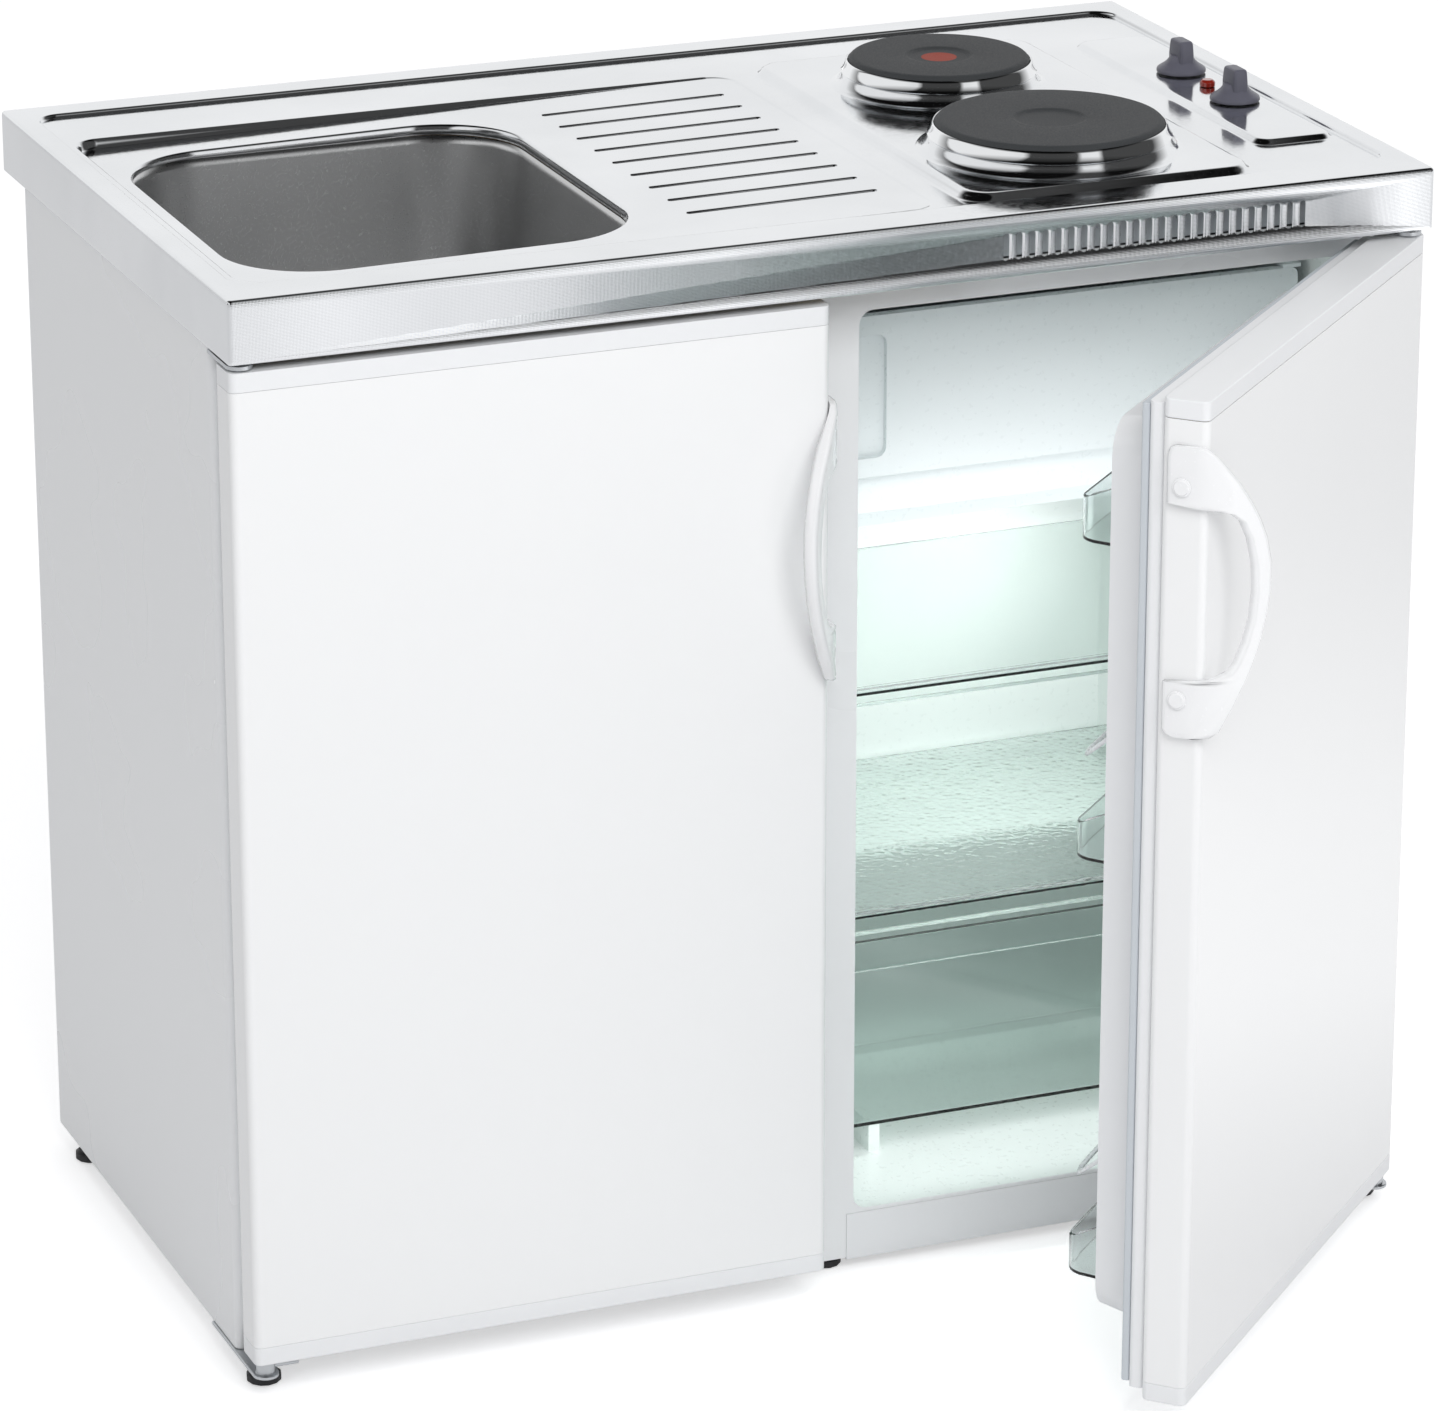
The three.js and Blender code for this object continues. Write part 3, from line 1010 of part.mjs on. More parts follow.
function foot(x, y, top) {
  return turned(x, y, [
    [0, 0], [FOOT_RADIUS - 1, 0], [FOOT_RADIUS, 1], [FOOT_RADIUS, FOOT_PAD - 2], [FOOT_RADIUS - 3, FOOT_PAD],
    [FOOT_STEM_RADIUS, FOOT_PAD], [FOOT_STEM_RADIUS, top], [0, top],
  ], SMALL_STEPS);
}

const footTop = CABINET_BOTTOM - SEAT;
const hingeFootTop = footTop - BRACKET_SHEET - SEAT;

add(unit, 'stiffening_board', stiffeningBoard(), 'board');
add(unit, 'side_panel_left', sidePanel(), 'whiteSteel');
add(unit, 'cupboard_floor', cupboardFloor(), 'whiteSteel');
add(unit, 'cupboard_back', cupboardBack(), 'whiteSteel');
add(unit, 'centre_post', centrePost(), 'whiteSteel');
add(unit, 'top_frame', topFrame(), 'zinc');
add(unit, 'lower_hinge_left', lowerHinge(cupboardHingeX, -CABINET_HALF_WIDTH + 2 * PANEL_RETURN), 'zinc');
add(unit, 'lower_hinge_right', lowerHinge(fridgeHingeX, CABINET_HALF_WIDTH - 2 * PANEL_RETURN), 'zinc');
add(unit, 'foot_front_left', foot(-FOOT_X, FOOT_FRONT_Y, hingeFootTop), 'blackPlastic');
add(unit, 'foot_front_right', foot(FOOT_X, FOOT_FRONT_Y, hingeFootTop), 'blackPlastic');
add(unit, 'foot_front_middle', foot(MIDDLE_FOOT_X, MIDDLE_FOOT_Y, footTop), 'blackPlastic');
add(unit, 'foot_back_left', foot(-FOOT_X, FOOT_BACK_Y, footTop), 'blackPlastic');
add(unit, 'foot_back_right', foot(FOOT_X, FOOT_BACK_Y, footTop), 'blackPlastic');

// ---------------------------------------------------------------- refrigerator cabinet

// Inner space of the case, stepped over the compressor's niche, made smaller by inset.
function foamSpace(inset) {
  const x0 = FRIDGE_LEFT + CASE_SHEET + inset;
  const x1 = CABINET_HALF_WIDTH - CASE_SHEET - inset;
  return cut(
    block(x0, x1, CABINET_FRONT + KICK_THICKNESS + inset, FRIDGE_BACK - CASE_SHEET - inset,
      CABINET_BOTTOM + CASE_SHEET + inset, cabinetTop - CASE_SHEET - inset),
    block(x0 - 1, x1 + 1, NICHE_FRONT - CASE_SHEET - inset, FRIDGE_BACK + 1, CABINET_BOTTOM,
      NICHE_TOP + CASE_SHEET + inset),
  );
}

function frontOpening(y0, y1, grow) {
  return roundedBlockY(OPENING_LEFT - grow, OPENING_RIGHT + grow, OPENING_BOTTOM - grow, OPENING_TOP + grow,
    y0, y1, OPENING_RADIUS + grow);
}

function fridgeCase() {
  const x0 = FRIDGE_LEFT;
  const x1 = CABINET_HALF_WIDTH;
  const front = CABINET_FRONT;
  const outer = roundedBlock(x0, x1, front, FRIDGE_BACK, CABINET_BOTTOM, cabinetTop, PANEL_FOLD_RADIUS / 2, 2);
  const square = block(x0, x1 - PANEL_FOLD_RADIUS, front, FRIDGE_BACK, CABINET_BOTTOM, cabinetTop);
  const flangeSpace = block(x0 + CASE_SHEET, x1 - CASE_SHEET, front + CASE_SHEET, front + KICK_THICKNESS + 1,
    CABINET_BOTTOM + CASE_SHEET, cabinetTop - CASE_SHEET);
  const niche = block(x0 + CASE_SHEET, x1 - CASE_SHEET, NICHE_FRONT, FRIDGE_BACK + 1,
    CABINET_BOTTOM + CASE_SHEET, NICHE_TOP);
  const kickSpace = block(KICK_LEFT - SEAT, x1 + 1, front - 1, front + KICK_THICKNESS + SEAT,
    CABINET_BOTTOM - 1, KICK_TOP);
  const body = cut(join(outer, square), foamSpace(0), flangeSpace, niche, kickSpace,
    frontOpening(front - 1, front + KICK_THICKNESS, 0));
  return join(body, block(x0, KICK_LEFT - SEAT, front, front + CASE_SHEET, KICK_BOTTOM + 2, KICK_TOP));
}

// Cavity of the liner, tapering to the back and stepped over the compressor's niche. Growing
// it by the wall's thickness gives its outer form.
function cavity(grow, frontY) {
  const taper = LINER_DRAFT - grow;
  const place = (reach, y, radius) => ring(
    roundedOutline(OPENING_LEFT + reach, OPENING_RIGHT - reach, -OPENING_TOP + reach, -OPENING_BOTTOM - reach, radius),
    y,
  );
  const lying = new THREE.Matrix4().set(1, 0, 0, 0, 0, 0, 1, 0, 0, -1, 0, 0, 0, 0, 0, 1);
  const body = loft([
    place(-grow, frontY, OPENING_RADIUS + grow),
    place(-grow, CABINET_FRONT + KICK_THICKNESS, OPENING_RADIUS + grow),
    place(taper, CAVITY_BACK - 20, OPENING_RADIUS + 20 + grow),
    place(taper + 8, CAVITY_BACK + grow, OPENING_RADIUS + 12 + grow),
  ]).applyMatrix4(lying);
  const hump = block(OPENING_LEFT - 20, OPENING_RIGHT + 20, HUMP_FRONT + grow, CAVITY_BACK + 20,
    0, HUMP_TOP - grow);
  return cut(body, hump);
}

// Inner face of the liner's left wall at a depth y; the right wall mirrors it.
function wallInset(y) {
  const front = CABINET_FRONT + KICK_THICKNESS;
  return LINER_DRAFT * (y - front) / (CAVITY_BACK - 20 - front);
}

// Shelf rib that follows the wall, on the left (side -1) or the right (side 1).
function ledge(side, top, y0, y1) {
  const wall = (y) => (side < 0 ? OPENING_LEFT + wallInset(y) : OPENING_RIGHT - wallInset(y));
  const inner = -side * LEDGE_REACH;
  const outline = [
    [wall(y0) + side, y0], [wall(y0) + inner, y0], [wall(y1) + inner, y1], [wall(y1) + side, y1],
  ];
  const turnedLeft = side < 0 ? outline : outline.reverse();
  return loft([ring(turnedLeft, top - LEDGE_HEIGHT), ring(turnedLeft, top)]);
}

const upperGlassTop = UPPER_SHELF_TOP - TRIM_LIP;
const lowerGlassTop = LOWER_SHELF_TOP - TRIM_LIP;
const ledgeFront = SHELF_FRONT + TRIM_DEPTH + 2;

function fridgeLiner() {
  const front = CABINET_FRONT + CASE_SHEET + SEAT;
  const flange = cut(frontOpening(front, front + LINER_WALL, FLANGE), block(FRIDGE_LEFT, CABINET_HALF_WIDTH,
    front - 1, front + LINER_WALL + 1, 0, OPENING_BOTTOM - LINER_WALL));
  const shell = cut(join(cavity(LINER_WALL, front), flange), cavity(0, front - 1));
  const ribs = [];
  for (const side of [-1, 1]) {
    for (const top of [upperGlassTop - GLASS, lowerGlassTop - GLASS]) {
      ribs.push(ledge(side, top - SEAT, ledgeFront, SHELF_BACK));
    }
    ribs.push(ledge(side, FREEZER_BOTTOM - SEAT, FREEZER_FRONT + DRIP_LIP_DEPTH + 5, SHELF_BACK));
  }
  for (const x of [CRISPER_LEFT + RUNNER_INSET, CRISPER_RIGHT - RUNNER_INSET - RUNNER_WIDTH]) {
    ribs.push(block(x, x + RUNNER_WIDTH, CRISPER_FRONT + 12, CRISPER_BACK, OPENING_BOTTOM, CRISPER_BOTTOM - SEAT));
  }
  const runnersTrimmed = join(...ribs);
  return join(shell, geometryOf(solidOf(runnersTrimmed).intersect(solidOf(cavity(LINER_WALL / 2, front)))));
}

function insulation() {
  return cut(foamSpace(SEAT), cavity(LINER_WALL + SEAT, CABINET_FRONT));
}

function kickStrip() {
  const y0 = CABINET_FRONT;
  const strip = block(KICK_LEFT, CABINET_HALF_WIDTH - SEAT, y0, y0 + KICK_THICKNESS - SEAT, KICK_BOTTOM,
    KICK_TOP - SEAT);
  return cut(strip, block(KICK_NOTCH - SEAT, CABINET_HALF_WIDTH, y0 - 1, y0 + KICK_THICKNESS, 0, CABINET_BOTTOM));
}

// Wire-and-tube condenser with its discharge pipe and the clips that hold it to the back.
function condenser() {
  const y = FRIDGE_BACK + CONDENSER_GAP;
  const x0 = FRIDGE_LEFT + CONDENSER_MARGIN;
  const x1 = CABINET_HALF_WIDTH - CONDENSER_MARGIN;
  const pitch = (CONDENSER_TOP - CONDENSER_BOTTOM) / (CONDENSER_RUNS - 1);
  const start = COMPRESSOR_Y + COMPRESSOR_RADIUS - 6;
  const pieces = [
    cylinder(x0, y, NICHE_TOP / 2, CONDENSER_BOTTOM + TUBE_RADIUS, TUBE_RADIUS, 6),
    cylinderX(x0 - TUBE_RADIUS, COMPRESSOR_X - COMPRESSOR_RADIUS - SEAT, y - 30, NICHE_TOP / 2, TUBE_RADIUS, 6),
    cylinderY(x0, start, y + TUBE_RADIUS, NICHE_TOP / 2, TUBE_RADIUS, 6),
  ];
  for (let run = 0; run < CONDENSER_RUNS; run += 1) {
    const z = CONDENSER_BOTTOM + run * pitch;
    pieces.push(cylinderX(x0 - TUBE_RADIUS, x1 + TUBE_RADIUS, y, z, TUBE_RADIUS, 6));
    if (run + 1 < CONDENSER_RUNS) {
      const side = run % 2 ? x0 : x1;
      pieces.push(cylinder(side, y, z - TUBE_RADIUS, z + pitch + TUBE_RADIUS, TUBE_RADIUS, 6));
    }
  }
  for (let i = 1; i <= CONDENSER_WIRES; i += 1) {
    const x = x0 + (x1 - x0) * i / (CONDENSER_WIRES + 1);
    pieces.push(cylinder(x, y + TUBE_RADIUS, CONDENSER_BOTTOM - 6, CONDENSER_TOP + 6, WIRE, 4));
  }
  for (const z of [CONDENSER_BOTTOM + pitch, CONDENSER_TOP - pitch]) {
    for (const x of [x0 + 20, x1 - 20]) {
      pieces.push(block(x - 6, x + 6, FRIDGE_BACK + SEAT, y + 1, z - 4, z + 4));
    }
  }
  return join(...pieces);
}

// Sealed compressor on its feet, standing in the niche.
function compressor() {
  const floor = CABINET_BOTTOM + CASE_SHEET + SEAT;
  const middle = floor + COMPRESSOR_SEAM;
  const body = turned(COMPRESSOR_X, COMPRESSOR_Y, [
    [0, floor + COMPRESSOR_FOOT], [COMPRESSOR_RADIUS - 18, floor + 16], [COMPRESSOR_RADIUS - 4, floor + 32],
    [COMPRESSOR_RADIUS, middle - 4], [COMPRESSOR_RADIUS + 3, middle - 4], [COMPRESSOR_RADIUS + 3, middle + 2],
    [COMPRESSOR_RADIUS, middle + 2], [COMPRESSOR_RADIUS - 5, middle + 40], [COMPRESSOR_RADIUS - 24, middle + 62],
    [0, middle + 70],
  ], MEDIUM_STEPS);
  const plate = block(COMPRESSOR_X - COMPRESSOR_PLATE_X, COMPRESSOR_X + COMPRESSOR_PLATE_X,
    COMPRESSOR_Y - COMPRESSOR_PLATE_Y, COMPRESSOR_Y + COMPRESSOR_PLATE_Y,
    floor + COMPRESSOR_FOOT - COMPRESSOR_PLATE / 2, floor + COMPRESSOR_FOOT + COMPRESSOR_PLATE / 2);
  const pieces = [body, plate];
  for (const sx of [-1, 1]) {
    for (const sy of [-1, 1]) {
      pieces.push(cylinder(COMPRESSOR_X + sx * COMPRESSOR_FOOT_X, COMPRESSOR_Y + sy * COMPRESSOR_FOOT_Y, floor,
        floor + COMPRESSOR_FOOT, COMPRESSOR_FOOT_RADIUS, SMALL_STEPS));
    }
  }
  return join(...pieces);
}

// Terminal box of the mains supply, with the gland its lead enters by.
function terminalBox() {
  const top = cabinetTop - 4;
  const y0 = FRIDGE_BACK + SEAT;
  const y1 = y0 + TERMINAL_DEPTH;
  const half = TERMINAL_WIDTH / 2;
  const z = top - TERMINAL_HEIGHT / 2;
  return cut(join(
    roundedBlockY(TERMINAL_X - half, TERMINAL_X + half, top - TERMINAL_HEIGHT, top, y0, y1, 4, 3),
    cylinderY(TERMINAL_X, y1 - 1, y1 + 12, z, GLAND_RADIUS, 6),
  ), cylinderY(TERMINAL_X, y1 + 2, y1 + 13, z, GLAND_RADIUS - 4, SMALL_STEPS));
}

add(unit, 'fridge_case', fridgeCase(), 'whiteSteel');
add(unit, 'fridge_liner', fridgeLiner(), 'linerPlastic');
add(unit, 'fridge_insulation', insulation(), 'foam');
add(unit, 'kick_strip', kickStrip(), 'whitePlastic');
add(unit, 'condenser', condenser(), 'copper');
add(unit, 'compressor', compressor(), 'iron');
add(unit, 'terminal_box', terminalBox(), 'blackPlastic');

// ---------------------------------------------------------------- inside the refrigerator

// Evaporator box with hinge lugs for its flap at the right and a stepped lip below.
function freezerBox() {
  const x0 = FREEZER_LEFT;
  const x1 = FREEZER_RIGHT;
  const y0 = FREEZER_FRONT;
  const w = FREEZER_WALL;
  const box = (inset, front) => join(
    roundedBlockY(x0 + inset, x1 - inset, FREEZER_BOTTOM + inset, FREEZER_TOP - inset, front,
      FREEZER_BACK - inset, FREEZER_RADIUS - inset),
    block(x0 + inset, x1 - inset, front, FREEZER_BACK - inset, FREEZER_BOTTOM + inset, FREEZER_BOTTOM + FREEZER_RADIUS),
  );
  const shell = cut(box(0, y0), box(w, y0 - 1));
  const lip = join(
    block(x0, x1, y0, y0 + w, DRIP_LIP_BOTTOM + 24, FREEZER_BOTTOM + 1),
    block(x0, x1, y0, y0 + DRIP_LIP_DEPTH, DRIP_LIP_BOTTOM + 24, DRIP_LIP_BOTTOM + 24 + w),
    block(x0, x1, y0 + DRIP_LIP_DEPTH - w, y0 + DRIP_LIP_DEPTH, DRIP_LIP_BOTTOM, DRIP_LIP_BOTTOM + 25),
  );
  const pinY = FLAP_FRONT + FLAP_THICKNESS / 2;
  const lugs = [FLAP_BOTTOM - SEAT - LUG, FLAP_TOP + SEAT].map((z) => cut(
    block(FLAP_PIN_X - 9, x1, FLAP_FRONT - 1, y0 + 1, z, z + LUG),
    cylinder(FLAP_PIN_X, pinY, z - 1, z + LUG + 1, FLAP_PIN_RADIUS + SEAT, SMALL_STEPS),
  ));
  return join(shell, lip, ...lugs);
}

function freezerFlap() {
  const pinY = FLAP_FRONT + FLAP_THICKNESS / 2;
  const panel = roundedBlockY(FLAP_LEFT, FLAP_PIN_X + 5, FLAP_BOTTOM, FLAP_TOP, FLAP_FRONT,
    FLAP_FRONT + FLAP_THICKNESS, 6, 3);
  const grip = roundedBlockY(FLAP_LEFT + 8, FLAP_LEFT + 8 + FLAP_GRIP_WIDTH, FLAP_BOTTOM + 16, FLAP_TOP - 16,
    FLAP_FRONT - 1, FLAP_FRONT + 5.5, 8, 3);
  const pin = cylinder(FLAP_PIN_X, pinY, FLAP_BOTTOM - LUG, FLAP_TOP + LUG, FLAP_PIN_RADIUS, SMALL_STEPS);
  return join(cut(panel, grip), pin);
}

function glassShelf(top, trimHeight) {
  const glass = block(SHELF_LEFT, SHELF_RIGHT, SHELF_FRONT + 4, SHELF_BACK, top - TRIM_LIP - GLASS, top - TRIM_LIP);
  const trim = block(SHELF_LEFT, SHELF_RIGHT, SHELF_FRONT, SHELF_FRONT + TRIM_DEPTH, top - trimHeight, top);
  return join(glass, trim);
}

// Open drawer with a leaning front and a folded lip along its top.
function crisper() {
  const x0 = CRISPER_LEFT;
  const x1 = CRISPER_RIGHT;
  const y0 = CRISPER_FRONT;
  const y1 = CRISPER_BACK;
  const outline = (inset, lean) => roundedOutline(x0 + inset, x1 - inset, y0 + inset + lean, y1 - inset, 10, 4);
  const body = loft([ring(outline(CRISPER_TAPER, 0), CRISPER_BOTTOM), ring(outline(0, 0), CRISPER_TOP)]);
  const inside = loft([
    ring(outline(CRISPER_TAPER + CRISPER_WALL, 0), CRISPER_BOTTOM + CRISPER_WALL),
    ring(outline(CRISPER_WALL, 0), CRISPER_TOP), ring(outline(CRISPER_WALL, 0), CRISPER_TOP + 5),
  ]);
  const lip = block(x0 + 12, x1 - 12, y0 - 3, y0 + 3, CRISPER_TOP - CRISPER_LIP, CRISPER_TOP);
  return cut(join(body, lip), inside);
}

// Control housing on the right wall, with its dial in front.
function thermostatHousing() {
  const wall = (y) => OPENING_RIGHT - wallInset(y) - SEAT;
  const y0 = THERMOSTAT_FRONT;
  const y1 = THERMOSTAT_BACK;
  const outline = [
    [THERMOSTAT_LEFT, y0 + 8], [THERMOSTAT_LEFT + 8, y0], [wall(y0), y0], [wall(y1), y1],
    [THERMOSTAT_LEFT + 8, y1], [THERMOSTAT_LEFT, y1 - 8],
  ];
  const body = loft([ring(outline, THERMOSTAT_BOTTOM), ring(outline, THERMOSTAT_TOP)]);
  const z = (THERMOSTAT_BOTTOM + THERMOSTAT_TOP) / 2;
  return cut(body, cylinderX(THERMOSTAT_LEFT - 1, THERMOSTAT_LEFT + 12, DIAL_Y, z, 4 + SEAT));
}

function thermostatDial() {
  const z = (THERMOSTAT_BOTTOM + THERMOSTAT_TOP) / 2;
  const back = THERMOSTAT_LEFT - SEAT;
  return join(
    cylinderX(back - 4, back, DIAL_Y, z, DIAL_RADIUS, MEDIUM_STEPS),
    cylinderX(back - DIAL_DEPTH, back - 3, DIAL_Y, z, DIAL_RADIUS - 3, MEDIUM_STEPS),
    cylinderX(back - 1, THERMOSTAT_LEFT + 11, DIAL_Y, z, 4),
  );
}

add(unit, 'freezer_compartment', freezerBox(), 'whitePlastic');
add(unit, 'freezer_flap', freezerFlap(), 'linerPlastic');
add(unit, 'glass_shelf_upper', glassShelf(UPPER_SHELF_TOP, UPPER_TRIM_HEIGHT), 'glass');
add(unit, 'glass_shelf_lower', glassShelf(LOWER_SHELF_TOP, LOWER_TRIM_HEIGHT), 'glass');
add(unit, 'crisper_drawer', crisper(), 'clear');
add(unit, 'thermostat_housing', thermostatHousing(), 'whitePlastic');
add(unit, 'thermostat_dial', thermostatDial(), 'greyPlastic');

// ---------------------------------------------------------------- doors

// A door is built about its hinge axis, hinged at the right and shut, with its front facing
// -Y. The cupboard door is the mirror image.

function doorSlab(width, inset, y0, y1, z0, z1, radius) {
  return roundedBlock(PIN_INSET - width + inset, PIN_INSET - inset, y0, y1, z0, z1, radius);
}

// Steel skin wrapped round the front and the edges, open at both ends and at the back.
function doorPanel(width) {
  const z0 = DOOR_BOTTOM + CAP_HEIGHT + SEAT;
  const z1 = DOOR_TOP - CAP_HEIGHT - SEAT;
  const sheet = DOOR_SHEET;
  return cut(doorSlab(width, 0, -PIN_INSET, bodyBack, z0, z1, DOOR_RADIUS),
    doorSlab(width, sheet, sheet - PIN_INSET, bodyBack - sheet, z0 - 1, z1 + 1, DOOR_RADIUS - sheet),
    doorSlab(width, DOOR_RETURN, 0, bodyBack + 1, z0 - 1, z1 + 1, 1));
}

// Foam that fills the refrigerator door's skin and the hollow of its inner face.
function doorFoam() {
  const width = FRIDGE_DOOR_WIDTH;
  const z0 = DOOR_BOTTOM + CAP_HEIGHT + 2 * SEAT;
  const z1 = DOOR_TOP - CAP_HEIGHT - 2 * SEAT;
  const gap = DOOR_SHEET + SEAT;
  return join(
    doorSlab(width, gap, gap - PIN_INSET, bodyBack - gap, z0, z1, DOOR_RADIUS - gap),
    doorSlab(width, DOOR_RETURN + SEAT, 0, plateBack - DOOR_LINING - SEAT, z0, z1, 1),
  );
}

function doorCap(width, atTop) {
  const z0 = atTop ? DOOR_TOP - CAP_HEIGHT : DOOR_BOTTOM;
  const socket = atTop ? DOOR_TOP - PIN_DEPTH - SEAT : DOOR_BOTTOM - 1;
  return cut(doorSlab(width, 0, -PIN_INSET, bodyBack, z0, z0 + CAP_HEIGHT, DOOR_RADIUS),
    cylinder(0, 0, socket, socket + PIN_DEPTH + SEAT + 1, PIN_RADIUS + PIN_CLEARANCE, SMALL_STEPS));
}

// Moulded inner face, hollow behind.
function innerPlate(width) {
  const inset = DOOR_STEP_INSET;
  const hollow = DOOR_BOTTOM + CAP_HEIGHT;
  return cut(
    doorSlab(width, inset, bodyBack + SEAT, plateBack, DOOR_BOTTOM + inset, DOOR_TOP - inset, DOOR_RADIUS - 1),
    doorSlab(width, DOOR_RETURN, bodyBack, plateBack - DOOR_LINING, hollow, DOOR_BOTTOM + DOOR_TOP - hollow, 1),
  );
}

function gasketRing(width, y0) {
  const outer = DOOR_STEP_INSET + GASKET_INSET;
  const inner = outer + GASKET_WIDTH;
  return cut(doorSlab(width, outer, y0, gasketBack, DOOR_BOTTOM + outer, DOOR_TOP - outer, 2),
    doorSlab(width, inner, y0 - 1, gasketBack + 1, DOOR_BOTTOM + inner, DOOR_TOP - inner, 2));
}

function tubForm(margin, z0, z1, radius, y0, y1, draft) {
  const x0 = PIN_INSET - FRIDGE_DOOR_WIDTH + margin;
  const x1 = PIN_INSET - margin;
  const lying = new THREE.Matrix4().set(1, 0, 0, 0, 0, 0, 1, 0, 0, -1, 0, 0, 0, 0, 0, 1);
  return loft([
    ring(roundedOutline(x0, x1, -z1, -z0, radius), y0),
    ring(roundedOutline(x0 + draft, x1 - draft, -z1 + draft, -z0 - draft, radius), y1),
  ]).applyMatrix4(lying);
}

const pocketMargin = TUB_MARGIN + TUB_DRAFT + TUB_LIP;
const pocketLeft = PIN_INSET - FRIDGE_DOOR_WIDTH + pocketMargin;
const pocketRight = PIN_INSET - pocketMargin;

// Inner face of the refrigerator's door: a raised rim all round, with lugs for the racks.
function doorLiner() {
  const rim = cut(
    tubForm(TUB_MARGIN, TUB_BOTTOM, TUB_TOP, TUB_RADIUS, plateBack - 1, tubBack, TUB_DRAFT),
    tubForm(pocketMargin, TUB_BOTTOM + TUB_DRAFT + TUB_END_LIP, TUB_TOP - TUB_DRAFT - TUB_END_LIP, TUB_RADIUS / 5,
      plateBack + TUB_FLOOR, tubBack + 1, 0),
  );
  const lugs = RACKS.flatMap(({ bottom }) => [
    block(pocketLeft - 1, pocketLeft + LUG_LENGTH, plateBack + 4, tubBack - 6, bottom - SEAT - LUG, bottom - SEAT),
    block(pocketRight - LUG_LENGTH, pocketRight + 1, plateBack + 4, tubBack - 6, bottom - SEAT - LUG, bottom - SEAT),
  ]);
  return join(innerPlate(FRIDGE_DOOR_WIDTH), rim, ...lugs);
}

// Clear rack: its ends rise from the low front to the door.
function doorRack({ bottom, front, back }) {
  const y0 = plateBack + TUB_FLOOR + SEAT;
  const y1 = rackFront;
  const height = (y) => bottom + back + (front - back) * Math.min(1, Math.max(0, (y - tubBack) / (y1 - tubBack - 6)));
  const outline = (inset) => {
    const a = roundedOutline(pocketLeft + SEAT + inset, pocketRight - SEAT - inset, y0 + inset, y1 - inset,
      RACK_RADIUS - inset, 4);
    return a.map(([x, y]) => {
      const lean = RACK_TAPER * Math.max(0, y - tubBack) / (y1 - tubBack);
      return [x < (pocketLeft + pocketRight) / 2 ? x + lean : x - lean, y];
    });
  };
  const body = loft([ring(outline(0), bottom), ring(outline(0), (x, y) => height(y))]);
  return cut(body, loft([ring(outline(RACK_WALL), bottom + RACK_WALL), ring(outline(RACK_WALL), bottom + back + 5)]));
}

// Wire that keeps bottles in a rack: it slopes down from the rim's sides to its front.
function bottleWire({ front }) {
  const x0 = pocketLeft + 6;
  const x1 = pocketRight - 6;
  const ends = front + BAIL_SLOPE;
  const y0 = tubBack - 12;
  const lean = RACK_TAPER + 4;
  return tube([
    [x0 - 4, y0, ends], [x0, tubBack + 4, ends - 6], [x0 + lean, rackFront - 10, front + 6],
    [x0 + lean + 14, rackFront - 2, front], [x1 - lean - 14, rackFront - 2, front],
    [x1 - lean, rackFront - 10, front + 6], [x1, tubBack + 4, ends - 6], [x1 + 4, y0, ends],
  ], BAIL_RADIUS, 22);
}

// Handle: a bent C with two pads on the door's edge and a bow that leans out over the front.
function handle(width, top) {
  const edge = PIN_INSET - width - SEAT;
  const padBack = HANDLE_PAD_REACH - PIN_INSET;
  const bendEnd = HANDLE_BEND_START + HANDLE_BEND_RADIUS * HANDLE_BEND;
  const point = (u, w) => {
    const turn = Math.min(Math.max((u - HANDLE_BEND_START) / HANDLE_BEND_RADIUS, 0), HANDLE_BEND);
    const before = Math.min(u, HANDLE_BEND_START);
    const after = Math.max(u - bendEnd, 0);
    const x = edge + HANDLE_BEND_RADIUS * (1 - Math.cos(turn)) + after * Math.sin(turn);
    const y = padBack - before - HANDLE_BEND_RADIUS * Math.sin(turn) - after * Math.cos(turn);
    return [x - w * Math.cos(turn), y - w * Math.sin(turn)];
  };
  const blend = (u) => Math.min(Math.max((u - HANDLE_SWELL_START) / HANDLE_SWELL, 0), 1);
  const skin = (u, gap) => {
    const t = blend(u);
    const round = Math.min(1, 0.35 + gap * 0.2);
    const thickness = HANDLE_PAD_THICKNESS + (HANDLE_BAR_THICKNESS - HANDLE_PAD_THICKNESS) * t;
    const middle = (HANDLE_PAD_THICKNESS / 2) * (1 - t) + 2 * t;
    const roundInside = 1 - t + t * round;
    return [middle - thickness / 2 * roundInside, middle + thickness / 2 * round];
  };
  const rings = HANDLE_OUTLINE.map(([depth, inner, outer]) => {
    const length = outer - inner;
    const edgeStep = Math.min(1.2, length / 8);
    const steps = [0, edgeStep, edgeStep * 3];
    for (let i = 1; i <= 4; i += 1) {
      steps.push(edgeStep * 3 + (length - edgeStep * 6) * i / 5);
    }
    steps.push(length - edgeStep * 3, length - edgeStep, length);
    const out = [];
    const back = [];
    for (const step of steps) {
      const gap = Math.min(step, length - step);
      const [w0, w1] = skin(inner + step, gap);
      out.push(point(inner + step, w1));
      back.push(point(inner + step, w0));
    }
    return ring([...out, ...back.reverse()], top - depth);
  });
  const slab = doorSlab(width, -SEAT, -PIN_INSET - SEAT, bodyBack, DOOR_BOTTOM, DOOR_TOP, DOOR_RADIUS + SEAT);
  return cut(loft(rings.reverse()), slab);
}

